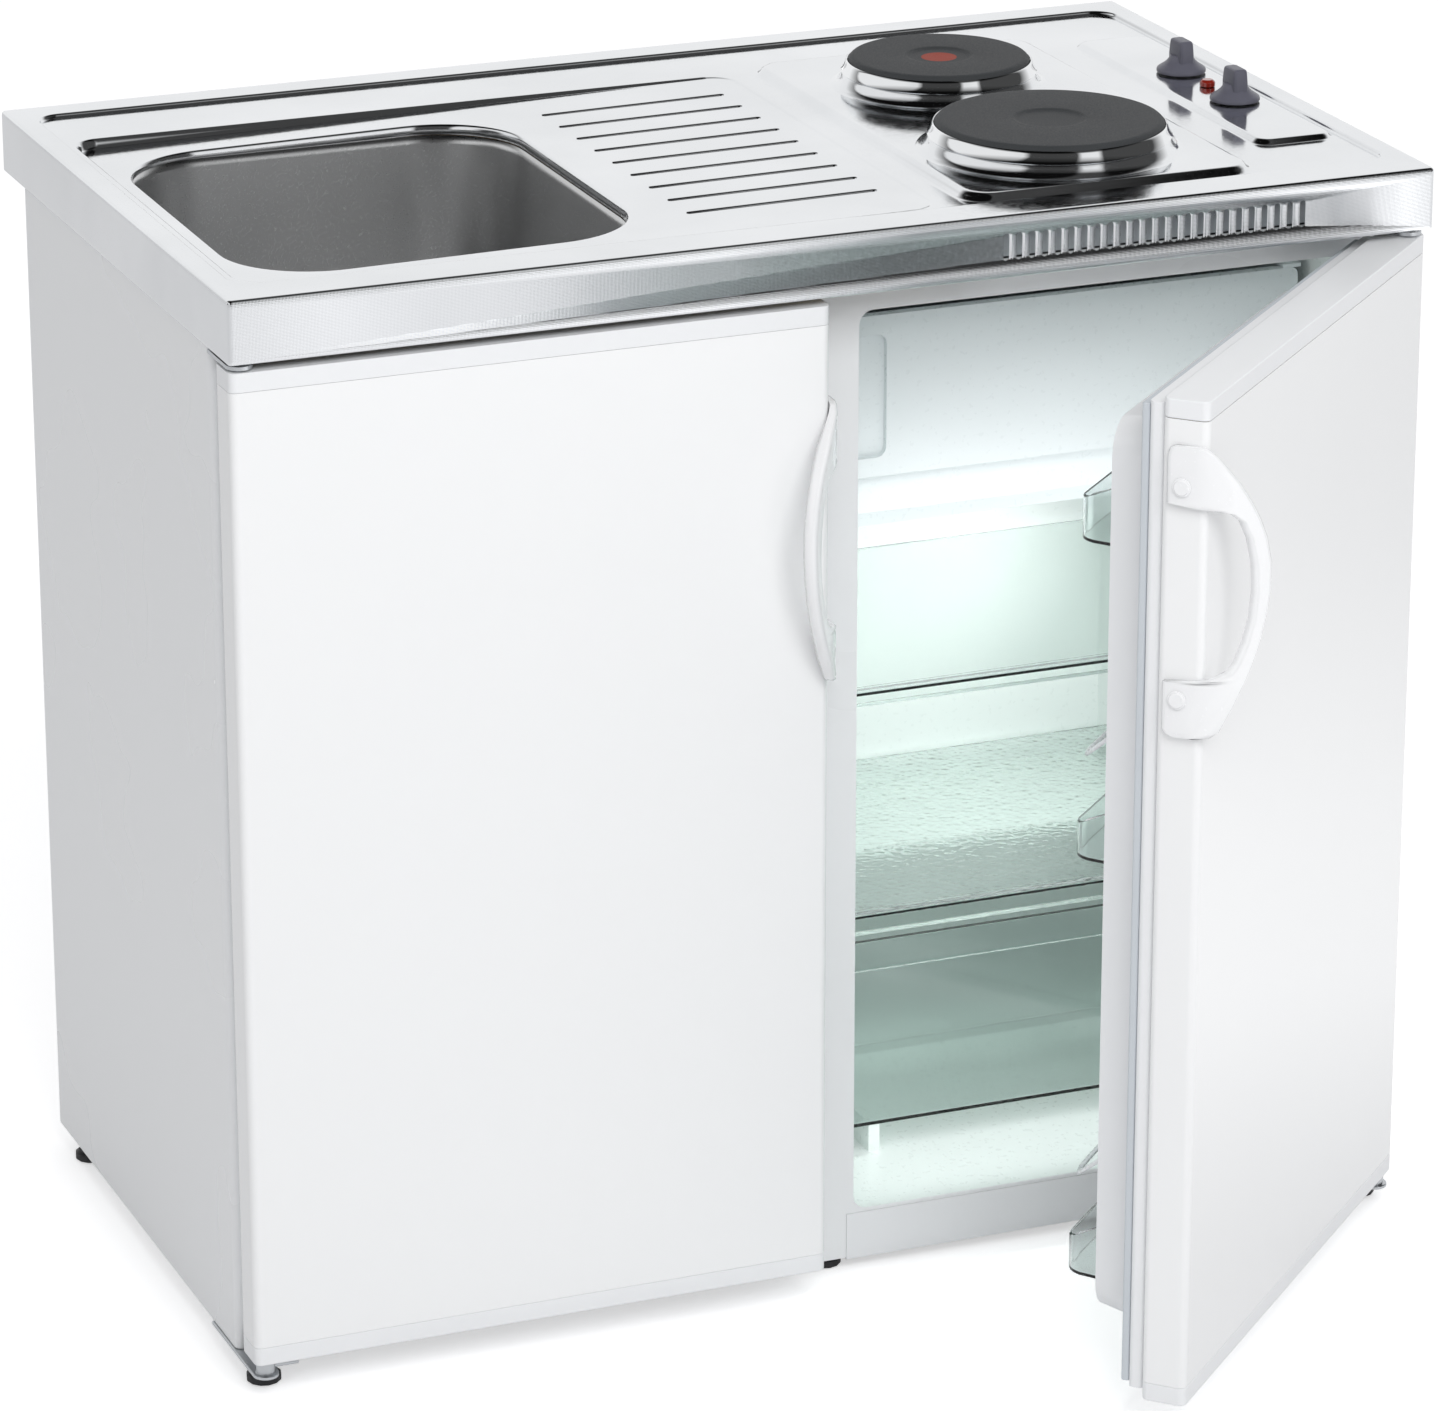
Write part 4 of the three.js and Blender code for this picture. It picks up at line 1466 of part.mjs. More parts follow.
function handleScrewHoles(width, top) {
  const y = HANDLE_PAD_REACH - SCREW_SETBACK - PIN_INSET;
  const edge = PIN_INSET - width;
  return SCREW_DEPTHS.map((depth) => cylinderX(edge - 20, edge + SCREW_LENGTH + 1, y, top - depth,
    SCREW_RADIUS + SCREW_CLEARANCE));
}

function handleScrew(width, top, depth) {
  const y = HANDLE_PAD_REACH - SCREW_SETBACK - PIN_INSET;
  const edge = PIN_INSET - width;
  const face = edge - SEAT - HANDLE_PAD_THICKNESS - SEAT;
  return join(
    cylinderX(face - SCREW_HEAD_HEIGHT + 1, face, y, top - depth, SCREW_HEAD_RADIUS, MEDIUM_STEPS),
    cylinderX(face - SCREW_HEAD_HEIGHT, face - 1, y, top - depth, SCREW_HEAD_RADIUS - 1.5, MEDIUM_STEPS),
    cylinderX(face - 1, edge + SCREW_LENGTH, y, top - depth, SCREW_RADIUS),
  );
}

add(fridgeDoor, 'fridge_door_panel',
  cut(doorPanel(FRIDGE_DOOR_WIDTH), ...handleScrewHoles(FRIDGE_DOOR_WIDTH, FRIDGE_HANDLE_TOP)), 'whiteSteel');
add(fridgeDoor, 'fridge_door_foam',
  cut(doorFoam(), ...handleScrewHoles(FRIDGE_DOOR_WIDTH, FRIDGE_HANDLE_TOP)), 'foam');
add(fridgeDoor, 'fridge_door_cap_top', doorCap(FRIDGE_DOOR_WIDTH, true), 'whitePlastic');
add(fridgeDoor, 'fridge_door_cap_bottom', doorCap(FRIDGE_DOOR_WIDTH, false), 'whitePlastic');
add(fridgeDoor, 'fridge_door_liner', doorLiner(), 'linerPlastic');
add(fridgeDoor, 'fridge_door_gasket', gasketRing(FRIDGE_DOOR_WIDTH, plateBack + SEAT), 'gasket');
add(fridgeDoor, 'fridge_door_handle',
  cut(handle(FRIDGE_DOOR_WIDTH, FRIDGE_HANDLE_TOP), ...handleScrewHoles(FRIDGE_DOOR_WIDTH, FRIDGE_HANDLE_TOP)),
  'whitePlastic');
add(fridgeDoor, 'fridge_handle_screw_upper',
  handleScrew(FRIDGE_DOOR_WIDTH, FRIDGE_HANDLE_TOP, SCREW_DEPTHS[0]), 'whitePlastic');
add(fridgeDoor, 'fridge_handle_screw_lower',
  handleScrew(FRIDGE_DOOR_WIDTH, FRIDGE_HANDLE_TOP, SCREW_DEPTHS[1]), 'whitePlastic');
for (const rack of RACKS) {
  add(fridgeDoor, `door_rack_${rack.name}`, doorRack(rack), 'clear');
}
for (const bail of BAILS) {
  add(fridgeDoor, `bottle_wire_${bail.name}`, bottleWire(bail), 'whitePlastic');
}

const cupboardInner = join(innerPlate(CUPBOARD_DOOR_WIDTH), gasketRing(CUPBOARD_DOOR_WIDTH, plateBack - 1));
add(cupboardDoor, 'cupboard_door_panel', mirrored(doorPanel(CUPBOARD_DOOR_WIDTH)), 'whiteSteel');
add(cupboardDoor, 'cupboard_door_cap_top', mirrored(doorCap(CUPBOARD_DOOR_WIDTH, true)), 'whitePlastic');
add(cupboardDoor, 'cupboard_door_cap_bottom', mirrored(doorCap(CUPBOARD_DOOR_WIDTH, false)), 'whitePlastic');
add(cupboardDoor, 'cupboard_door_inner_panel', mirrored(cupboardInner), 'whitePlastic');
add(cupboardDoor, 'cupboard_door_handle',
  mirrored(handle(CUPBOARD_DOOR_WIDTH, CUPBOARD_HANDLE_TOP)), 'whitePlastic');

export default unit;
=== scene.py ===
# Looks of the kitchenette unit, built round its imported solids.
#
# The scene is in metres. Lengths of pieces are written in millimetres and go through mm() or MM;
# those of the floor, the lamps and the camera are in metres.

import json
import math

import bmesh
import bpy
from mathutils import Matrix, Vector

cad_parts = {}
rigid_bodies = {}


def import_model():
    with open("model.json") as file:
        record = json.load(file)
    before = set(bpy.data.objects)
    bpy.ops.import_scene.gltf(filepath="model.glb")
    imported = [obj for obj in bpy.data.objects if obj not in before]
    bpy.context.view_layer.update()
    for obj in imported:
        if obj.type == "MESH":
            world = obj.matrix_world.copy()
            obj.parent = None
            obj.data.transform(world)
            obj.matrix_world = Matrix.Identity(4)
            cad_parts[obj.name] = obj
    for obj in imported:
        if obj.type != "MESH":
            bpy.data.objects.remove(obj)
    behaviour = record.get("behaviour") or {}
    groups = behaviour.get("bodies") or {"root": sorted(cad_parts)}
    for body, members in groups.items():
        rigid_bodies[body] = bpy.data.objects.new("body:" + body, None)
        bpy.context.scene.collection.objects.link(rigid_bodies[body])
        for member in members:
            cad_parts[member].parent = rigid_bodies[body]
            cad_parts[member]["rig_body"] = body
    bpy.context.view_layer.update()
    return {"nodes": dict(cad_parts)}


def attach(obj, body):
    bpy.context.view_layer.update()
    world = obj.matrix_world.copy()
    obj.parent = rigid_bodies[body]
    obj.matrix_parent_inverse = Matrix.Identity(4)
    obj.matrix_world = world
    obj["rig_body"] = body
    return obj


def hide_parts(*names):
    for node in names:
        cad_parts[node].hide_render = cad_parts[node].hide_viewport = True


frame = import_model()

MM = 0.001


def mm(*values):
    return tuple(value * MM for value in values)


# ---------------------------------------------------------------- finishes

def finish_of(name, colour, roughness, metallic=0.0, **sockets):
    """A finish with one plain shader; returns the material, its nodes, its links and the shader."""
    material = bpy.data.materials.new(name)
    material.use_nodes = True
    nodes, links = material.node_tree.nodes, material.node_tree.links
    shader = nodes["Principled BSDF"]
    shader.inputs["Base Color"].default_value = (*colour, 1)
    shader.inputs["Roughness"].default_value = roughness
    shader.inputs["Metallic"].default_value = metallic
    for socket, value in sockets.items():
        shader.inputs[socket.replace("_", " ")].default_value = value
    return material, nodes, links, shader


def place_of(nodes, links, centre=(0, 0, 0)):
    """Object coordinates, measured from a centre."""
    coordinates = nodes.new("ShaderNodeTexCoord")
    mapping = nodes.new("ShaderNodeMapping")
    mapping.vector_type = "TEXTURE"
    mapping.inputs["Location"].default_value = centre
    links.new(coordinates.outputs["Object"], mapping.inputs["Vector"])
    return mapping.outputs["Vector"]


def axes_of(nodes, links, place):
    """A place taken apart into X, Y and Z."""
    parts = nodes.new("ShaderNodeSeparateXYZ")
    links.new(place, parts.inputs["Vector"])
    return parts.outputs


def noise_of(nodes, links, place, scale, detail=3.0):
    """Soft noise; the scale is in waves per metre."""
    noise = nodes.new("ShaderNodeTexNoise")
    noise.inputs["Scale"].default_value = scale
    noise.inputs["Detail"].default_value = detail
    links.new(place, noise.inputs["Vector"])
    return noise.outputs["Fac"]


def spread(nodes, links, value, low, high, start=0.3, end=0.7):
    """Carries a value between start and end over to low and high."""
    span = nodes.new("ShaderNodeMapRange")
    for socket, number in (("From Min", start), ("From Max", end),
                           ("To Min", low), ("To Max", high)):
        span.inputs[socket].default_value = number
    links.new(value, span.inputs["Value"])
    return span.outputs["Result"]


def math_of(nodes, links, operation, first, second=0.0):
    """One step of arithmetic on numbers or on other nodes' outputs."""
    node = nodes.new("ShaderNodeMath")
    node.operation = operation
    for socket, value in zip(node.inputs, (first, second)):
        if isinstance(value, (int, float)):
            socket.default_value = value
        else:
            links.new(value, socket)
    return node.outputs["Value"]


def raise_by(nodes, links, shader, height, strength, distance, below=None):
    """Bumps the shader by a height; returns the bump's normal."""
    bump = nodes.new("ShaderNodeBump")
    bump.inputs["Strength"].default_value = strength
    bump.inputs["Distance"].default_value = distance
    links.new(height, bump.inputs["Height"])
    if below is not None:
        links.new(below, bump.inputs["Normal"])
    links.new(bump.outputs["Normal"], shader.inputs["Normal"])
    return bump.outputs["Normal"]


def blend(nodes, links, factor, first, second):
    """Mixes two tones; each is a colour or another node's output."""
    mix = nodes.new("ShaderNodeMix")
    mix.data_type = "RGBA"
    for socket, tone in (("A", first), ("B", second)):
        if isinstance(tone, tuple):
            mix.inputs[socket].default_value = (*tone, 1)
        else:
            links.new(tone, mix.inputs[socket])
    links.new(factor, mix.inputs["Factor"])
    return mix.outputs["Result"]


def tint_by(nodes, links, shader, factor, dark, light):
    """Colours the shader between two tones."""
    tone = blend(nodes, links, factor, dark, light)
    links.new(tone, shader.inputs["Base Color"])
    return tone


LINEN_PITCH = 2.2
RIM_FRONT_M = (-0.2999, -0.2994)    # metres: linen on the face of the rim, none behind it


def worktop_steel():
    """Polished steel, a little wavy from the press, with linen embossed on the rim's front; the
    linen also darkens the colour there as painted shade.
    """
    material, nodes, links, shader = finish_of(
        "polished_worktop_steel", (0.82, 0.835, 0.85), 0.1, 1.0)
    place = place_of(nodes, links)
    fine = noise_of(nodes, links, place, 260.0, 4.0)
    links.new(spread(nodes, links, fine, 0.07, 0.15), shader.inputs["Roughness"])
    wavy = raise_by(nodes, links, shader, noise_of(nodes, links, place, 9.0, 1.0), 0.12, 0.002)
    axes = axes_of(nodes, links, place)
    frequency = 2 * math.pi / (LINEN_PITCH * MM)
    waves = []
    for operation in ("ADD", "SUBTRACT"):
        slant = math_of(nodes, links, operation, axes["X"], axes["Z"])
        phase = math_of(nodes, links, "MULTIPLY", slant, frequency)
        waves.append(math_of(nodes, links, "SINE", phase))
    linen = math_of(nodes, links, "MULTIPLY", *waves)
    front = spread(nodes, links, axes["Y"], 1.0, 0.0, *RIM_FRONT_M)
    linen_relief_and_shade = math_of(nodes, links, "MULTIPLY", linen, front)
    # The linen is taken off the colour too: painted shade speckled into the embossing, beside its
    # real relief.
    tone = math_of(nodes, links, "SUBTRACT", noise_of(nodes, links, place, 7.0), linen_relief_and_shade)
    tint_by(nodes, links, shader, tone, (0.72, 0.735, 0.75), (0.92, 0.93, 0.945))
    raise_by(nodes, links, shader, linen_relief_and_shade, 0.25, 0.00018, wavy)
    return material


def bowl_steel():
    """Satin steel with a fine even grain and a few cloudy patches."""
    material, nodes, links, shader = finish_of("satin_bowl_steel", (0.62, 0.62, 0.62), 0.32, 1.0)
    place = place_of(nodes, links)
    grain = noise_of(nodes, links, place, 900.0, 3.0)
    blotches = noise_of(nodes, links, place, 8.0, 2.0)
    links.new(spread(nodes, links, grain, 0.26, 0.38), shader.inputs["Roughness"])
    tint_by(nodes, links, shader, blotches, (0.62, 0.625, 0.63), (0.76, 0.76, 0.76))
    raise_by(nodes, links, shader, grain, 0.05, 0.0002)
    return material


def bright_metal(name, colour, low, high):
    """Plated or polished metal with faint wipe marks."""
    material, nodes, links, shader = finish_of(name, colour, low, 1.0)
    marks = noise_of(nodes, links, place_of(nodes, links), 90.0, 4.0)
    links.new(spread(nodes, links, marks, low, high), shader.inputs["Roughness"])
    return material


SPOT_RED = (0.36, 0.045, 0.02)


def plate_iron(name, centre_y, spot=None):
    """Dull cast iron turned in fine rings; the spot is the radius of a red mark in the middle."""
    material, nodes, links, shader = finish_of(name, (0.05, 0.053, 0.056), 0.6)
    centred = place_of(nodes, links, centre=mm(PLATE_X, centre_y, 0))
    rings = nodes.new("ShaderNodeTexWave")
    rings.wave_type = "RINGS"
    rings.rings_direction = "Z"
    rings.inputs["Scale"].default_value = 180.0
    links.new(centred, rings.inputs["Vector"])
    grit = noise_of(nodes, links, centred, 900.0, 3.0)
    patches = noise_of(nodes, links, centred, 14.0, 3.0)
    links.new(spread(nodes, links, grit, 0.5, 0.72), shader.inputs["Roughness"])
    tone = tint_by(nodes, links, shader, patches, (0.04, 0.043, 0.046), (0.056, 0.06, 0.064))
    if spot:
        flat = nodes.new("ShaderNodeVectorMath")
        flat.operation = "MULTIPLY"
        flat.inputs[1].default_value = (1, 1, 0)
        links.new(centred, flat.inputs[0])
        reach = nodes.new("ShaderNodeVectorMath")
        reach.operation = "LENGTH"
        links.new(flat.outputs["Vector"], reach.inputs[0])
        inside = spread(nodes, links, reach.outputs["Value"], 1.0, 0.0,
                        (spot - 0.6) * MM, spot * MM)
        links.new(blend(nodes, links, inside, tone, SPOT_RED), shader.inputs["Base Color"])
    turned_marks = raise_by(nodes, links, shader, rings.outputs["Fac"], 0.25, 0.0002)
    raise_by(nodes, links, shader, grit, 0.35, 0.0002, turned_marks)
    return material


def painted_white(name, colour, roughness=0.28):
    """Powder-painted sheet with a fine orange peel."""
    material, nodes, links, shader = finish_of(
        name, colour, roughness, Coat_Weight=0.12, Coat_Roughness=0.15)
    place = place_of(nodes, links)
    peel = noise_of(nodes, links, place, 420.0, 2.0)
    haze = noise_of(nodes, links, place, 5.0, 2.0)
    gloss = spread(nodes, links, haze, roughness - 0.02, roughness + 0.03)
    links.new(gloss, shader.inputs["Roughness"])
    tint_by(nodes, links, shader, haze, tuple(c * 0.985 for c in colour), colour)
    raise_by(nodes, links, shader, peel, 0.02, 0.0003)
    return material


# Near black: painted shade on the case's top, where the vents look into the dark space under the
# hob.
PAINTED_VENT_SHADE = (0.015, 0.015, 0.016)


def case_paint(top):
    """White paint on the refrigerator's case, near black above its top edge as painted shade for
    the vents.
    """
    material = painted_white("white_case_paint", (0.9, 0.91, 0.92))
    nodes, links = material.node_tree.nodes, material.node_tree.links
    shader = nodes["Principled BSDF"]
    paint = shader.inputs["Base Color"].links[0].from_socket
    height = axes_of(nodes, links, place_of(nodes, links))["Z"]
    # Above the top edge the colour turns near black, as painted shade.
    shaded_top = spread(nodes, links, height, 0.0, 1.0, (top - 1.0) * MM, (top - 0.5) * MM)
    links.new(blend(nodes, links, shaded_top, paint, PAINTED_VENT_SHADE), shader.inputs["Base Color"])
    return material


def moulded(name, colour, roughness, grain=500.0, strength=0.08, **sockets):
    """Moulded plastic with a fine spark-eroded grain."""
    material, nodes, links, shader = finish_of(name, colour, roughness, **sockets)
    place = place_of(nodes, links)
    pores = noise_of(nodes, links, place, grain, 3.0)
    cloud = noise_of(nodes, links, place, 12.0, 2.0)
    gloss = spread(nodes, links, pores, roughness - 0.05, roughness + 0.08)
    links.new(gloss, shader.inputs["Roughness"])
    tint_by(nodes, links, shader, cloud, tuple(c * 0.97 for c in colour), colour)
    raise_by(nodes, links, shader, pores, strength, 0.0003)
    return material


SHADOW_TINT = (0.96, 0.985, 0.975)


def see_through(name, colour, roughness, index, pattern=None):
    """Clear glass or plastic that lets light through to what stands behind it.

    The pattern is the pitch of its cast figure.
    """
    material, nodes, links, shader = finish_of(
        name, colour, roughness, Transmission_Weight=1.0, IOR=index)
    place = place_of(nodes, links)
    smears = noise_of(nodes, links, place, 30.0, 3.0)
    links.new(spread(nodes, links, smears, roughness, roughness + 0.05), shader.inputs["Roughness"])
    if pattern:
        dimples = nodes.new("ShaderNodeTexVoronoi")
        dimples.inputs["Scale"].default_value = 1 / (pattern * MM)
        links.new(place, dimples.inputs["Vector"])
        raise_by(nodes, links, shader, dimples.outputs["Distance"], 0.35, 0.0006)
    else:
        raise_by(nodes, links, shader, smears, 0.05, 0.0004)
    passing = nodes.new("ShaderNodeBsdfTransparent")
    passing.inputs["Color"].default_value = (*SHADOW_TINT, 1)
    ray = nodes.new("ShaderNodeLightPath")
    mix = nodes.new("ShaderNodeMixShader")
    links.new(ray.outputs["Is Shadow Ray"], mix.inputs["Fac"])
    links.new(shader.outputs["BSDF"], mix.inputs[1])
    links.new(passing.outputs["BSDF"], mix.inputs[2])
    links.new(mix.outputs["Shader"], nodes["Material Output"].inputs["Surface"])
    return material


PLATE_X = 240
SMALL_PLATE = {"y": 83, "radius": 75, "dish": 27}
LARGE_PLATE = {"y": -136, "radius": 92, "dish": 29}
CASE_TOP = 844

FINISH = {
    "worktop_steel": worktop_steel(),
    "bowl_steel": bowl_steel(),
    "chrome": bright_metal("polished_ring_steel", (0.86, 0.87, 0.88), 0.03, 0.08),
    "zinc": bright_metal("zinc_plate", (0.6, 0.62, 0.64), 0.25, 0.4),
    "small_plate": plate_iron("hotplate_iron_small", SMALL_PLATE["y"], spot=15),
    "large_plate": plate_iron("hotplate_iron_large", LARGE_PLATE["y"]),
    "white_steel": painted_white("white_paint", (0.9, 0.91, 0.92)),
    "case_steel": case_paint(CASE_TOP),
    "door_steel": painted_white("white_door_paint", (0.94, 0.945, 0.95), 0.22),
    "white_plastic": moulded("white_plastic", (0.9, 0.91, 0.925), 0.33),
    "gloss_white": moulded("white_handle_plastic", (0.93, 0.935, 0.945), 0.2, 300.0, 0.03,
                           Coat_Weight=0.4),
    "liner_plastic": moulded("liner_plastic", (0.86, 0.91, 0.895), 0.3, 200.0, 0.03),
    "flap_plastic": moulded("flap_plastic", (0.8, 0.85, 0.86), 0.3, 200.0, 0.03),
    # The seal is white; its grey-blue tone is painted shade for the gap between door and cabinet.
    "gasket_rubber": moulded("gasket_rubber", (0.62, 0.66, 0.7), 0.55),
    "knob_plastic": moulded("knob_plastic", (0.13, 0.13, 0.165), 0.34, 700.0, 0.12),
    "black_plastic": moulded("black_plastic", (0.02, 0.02, 0.022), 0.45, 700.0, 0.15),
    "grey_plastic": moulded("grey_plastic", (0.4, 0.43, 0.45), 0.4),
    "black_metal": moulded("black_paint", (0.018, 0.018, 0.02), 0.4, 300.0, 0.1),
    "foam": moulded("insulation_foam", (0.75, 0.65, 0.38), 0.95, 240.0, 0.6),
    "board": moulded("chipboard", (0.5, 0.36, 0.2), 0.85, 160.0, 0.5),
    "coated_wire": moulded("wire_coating", (0.88, 0.9, 0.92), 0.25, 300.0, 0.03,
                           Coat_Weight=0.3),
    "red_lens": moulded("red_lens", (0.3, 0.02, 0.01), 0.1, 200.0, 0.02, Coat_Weight=1.0),
    "shelf_glass": see_through("shelf_glass", (0.93, 0.975, 0.955), 0.02, 1.5),
    "figured_glass": see_through("figured_glass", (0.93, 0.975, 0.955), 0.05, 1.5, pattern=7.0),
    "clear_plastic": see_through("clear_plastic", (0.93, 0.975, 0.965), 0.03, 1.45),
}


# ---------------------------------------------------------------- modelling by loops

HOLD_APART_M = 0.1          # metres between two loops of one plane while they are joined
LOOP_WELD_M = 0.000002      # metres
SOLID_WELD_M = 0.00002      # metres
FLAT_WITHIN = math.radians(0.5)

loop_count = 0


def begin():
    """Starts an empty piece, ready for loops."""
    bpy.ops.object.select_all(action="DESELECT")
    bpy.ops.object.add(type="MESH", enter_editmode=True)
    bpy.ops.mesh.select_mode(type="EDGE")


def mark_loop(height):
    """Numbers the loop that is selected and lifts it to its height, a number or a rule."""
    global loop_count
    loop_count += 1
    data = bpy.context.object.data
    mesh = bmesh.from_edit_mesh(data)
    layer = mesh.verts.layers.int.get("loop") or mesh.verts.layers.int.new("loop")
    for vert in mesh.verts:
        if vert.select:
            vert[layer] = loop_count
            level = height(vert.co.x / MM, vert.co.y / MM) if callable(height) else height
            vert.co.z = level * MM
    bmesh.update_edit_mesh(data)
    return loop_count


def rounded_loop(x0, x1, y0, y1, radius, height, steps=8):
    """A rectangle with round corners."""
    middle = mm((x0 + x1) / 2, (y0 + y1) / 2, 0)
    bpy.ops.mesh.select_all(action="DESELECT")
    bpy.ops.mesh.primitive_plane_add(size=1, location=middle)
    bpy.ops.transform.resize(value=(*mm(x1 - x0, y1 - y0), 1), center_override=middle)
    bpy.ops.mesh.bevel(offset=radius * MM, segments=steps, affect="VERTICES")
    number = mark_loop(height)
    bpy.ops.mesh.delete(type="ONLY_FACE")
    return number


def round_loop(x, y, radius, height, steps=96):
    """A circle."""
    bpy.ops.mesh.select_all(action="DESELECT")
    bpy.ops.mesh.primitive_circle_add(vertices=steps, radius=radius * MM, location=mm(x, y, 0))
    return mark_loop(height)


def pick(*loops):
    """Selects whole loops by their numbers."""
    bpy.ops.mesh.select_all(action="DESELECT")
    data = bpy.context.object.data
    mesh = bmesh.from_edit_mesh(data)
    layer = mesh.verts.layers.int["loop"]
    for edge in mesh.edges:
        a, b = edge.verts
        if a[layer] == b[layer] and a[layer] in loops:
            edge.select_set(True)
    bmesh.update_edit_mesh(data)


def skin(loops):
    """Joins each loop to the next; loops that lie in one plane are held apart meanwhile."""
    for first, second in zip(loops, loops[1:]):
        pick(second)
        bpy.ops.transform.translate(value=(0, 0, HOLD_APART_M))
        pick(first, second)
        bpy.ops.mesh.bridge_edge_loops()
        pick(second)
        bpy.ops.transform.translate(value=(0, 0, -HOLD_APART_M))


def fill(*loops):
    """Closes the flat between an outer loop and the loops inside it."""
    pick(*loops)
    bpy.ops.mesh.fill(use_beauty=True)


def complete(name, node, slot, finish=None, angle=40):
    """Leaves edit mode, tidies the mesh and puts the piece in its node's place."""
    bpy.ops.mesh.select_all(action="SELECT")
    bpy.ops.mesh.remove_doubles(threshold=LOOP_WELD_M)
    bpy.ops.mesh.normals_make_consistent(inside=False)
    bpy.ops.object.mode_set(mode="OBJECT")
    piece = bpy.context.object
    piece.name = name
    piece.data.name = name
    if "loop" in piece.data.attributes:
        piece.data.attributes.remove(piece.data.attributes["loop"])
    bpy.ops.object.shade_smooth_by_angle(angle=math.radians(angle))
    return seat(piece, node, slot, finish)


def seat(piece, node, slot, finish=None):
    """Gives a piece its finish and lets it stand for a node and ride on the node's body."""
    piece.data.materials.clear()
    piece.data.materials.append(FINISH[finish or slot])
    body = frame["nodes"][node]["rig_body"]
    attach(piece, body)
    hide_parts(node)
    return piece


def apply_modifier(piece, kind, **settings):
    """Adds a modifier and applies it."""
    bpy.ops.object.select_all(action="DESELECT")
    piece.select_set(True)
    bpy.context.view_layer.objects.active = piece
    modifier = piece.modifiers.new(kind.title(), kind)
    for name, value in settings.items():
        setattr(modifier, name, value)
    bpy.ops.object.modifier_apply(modifier=modifier.name)


def softened(node, slot, finish=None, width=0.4, segments=2, angle=35):
    """A copy of a node with its flats made whole and its edges rounded over."""
    piece = bpy.data.objects.new(node + "_finished", frame["nodes"][node].data.copy())
    bpy.context.scene.collection.objects.link(piece)
    bpy.ops.object.select_all(action="DESELECT")
    piece.select_set(True)
    bpy.context.view_layer.objects.active = piece
    bpy.ops.object.mode_set(mode="EDIT")
    bpy.ops.mesh.select_all(action="SELECT")
    bpy.ops.mesh.remove_doubles(threshold=SOLID_WELD_M)
    bpy.ops.mesh.dissolve_limited(angle_limit=FLAT_WITHIN)
    bpy.ops.object.mode_set(mode="OBJECT")
    bpy.ops.object.shade_smooth_by_angle(angle=math.radians(angle))
    if width:
        apply_modifier(piece, "BEVEL", width=width * MM, segments=segments,
                       limit_method="ANGLE", angle_limit=math.radians(angle),
                       miter_outer="MITER_ARC")
    apply_modifier(piece, "WEIGHTED_NORMAL", keep_sharp=True)
    return seat(piece, node, slot, finish)


# ---------------------------------------------------------------- worktop

# Heights of its levels, and left, right, front and back of its fields.
TOP = 895
FIELD = 892
HOB = FIELD + 6
CONTROLS = FIELD + 4
HALF_LENGTH, HALF_DEPTH, CORNER = 500, 300, 4
FIELD_AREA = (-482, 482, -260, 272)
DRAINER_AREA = (-474, 98, -250, 196)
HOB_AREA = (117, 372, -253.5, 206)
CONTROL_AREA = (403, 476, -181, 179)
DRAINER_DROP, DRAINER_FALL = 7.7, 7.1
SHEET = 1.2

BOWL = {"x0": -456, "x1": -126, "y0": -219, "y1": 154, "radius": 78}
BOWL_MIDDLE = ((BOWL["x0"] + BOWL["x1"]) / 2, (BOWL["y0"] + BOWL["y1"]) / 2)
BOWL_EDGE = 884.3
BOWL_SHEET = 1.0

GROOVES = {"count": 9, "middle": -21, "pitch": 40, "x0": -90, "x1": 72, "half": 3.6, "depth": 2.4}
VENTS = {"count": 24, "pitch": 11.07, "first": (129, -299, 869.5), "size": (5, 12, 22),
         "corner": 2.45}

# How far in and how far down a pressed step has got, as shares of its draft and height.
SOFT_STEP = [(-0.25, 0), (0, 0), (0.15, 0.04), (0.32, 0.18), (0.5, 0.5), (0.68, 0.82),
             (0.85, 0.96), (1, 1), (1.25, 1)]


def drainer_height(x, y):
    """The drainer falls towards its left end."""
    left, right = DRAINER_AREA[:2]
    return FIELD - DRAINER_DROP + DRAINER_FALL * (x - left) / (right - left)


def groove_floor(x, y):
    return drainer_height(x, y) - GROOVES["depth"]


def press(area, radius, top, floor, draft, steps=10):
    """Loops of a soft step, down or up, from top to floor, both heights or rules."""
    x0, x1, y0, y1 = area
    high = top if callable(top) else lambda x, y: top
    low = floor if callable(floor) else lambda x, y: floor
    loops = []
    for along, down in SOFT_STEP:
        inset = along * draft
        rule = lambda x, y, t=down: high(x, y) * (1 - t) + low(x, y) * t
        loops.append(rounded_loop(x0 + inset, x1 - inset, y0 + inset, y1 - inset,
                                  radius - inset, rule, steps))
    skin(loops)
    return loops[0], loops[-1]


def bowl_loop(inset, height, steps):
    """The bowl's outline, drawn in by an inset."""
    return rounded_loop(BOWL["x0"] + inset, BOWL["x1"] - inset,
                        BOWL["y0"] + inset, BOWL["y1"] - inset,
                        BOWL["radius"] - inset, height, steps)


# Curves, as pairs: inset and height of the rim, inset and depth of the bowl's lip, and reach
# beyond the plate and rise above the hob of the plates' seats.
RIM_CURVE = [(10, 845), (1.2, 845), (0.4, 845.3), (0, 846), (0, 848), (0, 889), (0, 892),
             (0.2, 893.2), (0.7, 894.2), (1.5, 894.8), (2.6, 895), (5, 895)]
LIP_CURVE = [(-1.5, 0), (0, 0), (0.5, 0.1), (1.1, 0.45), (1.7, 1.2), (2.1, 2.4), (2.4, 4.5),
             (2.6, 8)]
SEAT_CURVE = [(17, -0.3), (14, 0.1), (11.5, 0.8), (9.6, 1.9), (8.2, 3.4), (7, 5.4), (6, 7.6),
              (5.2, 9.5), (4.6, 10.5), (3.8, 11), (-9, 11)]


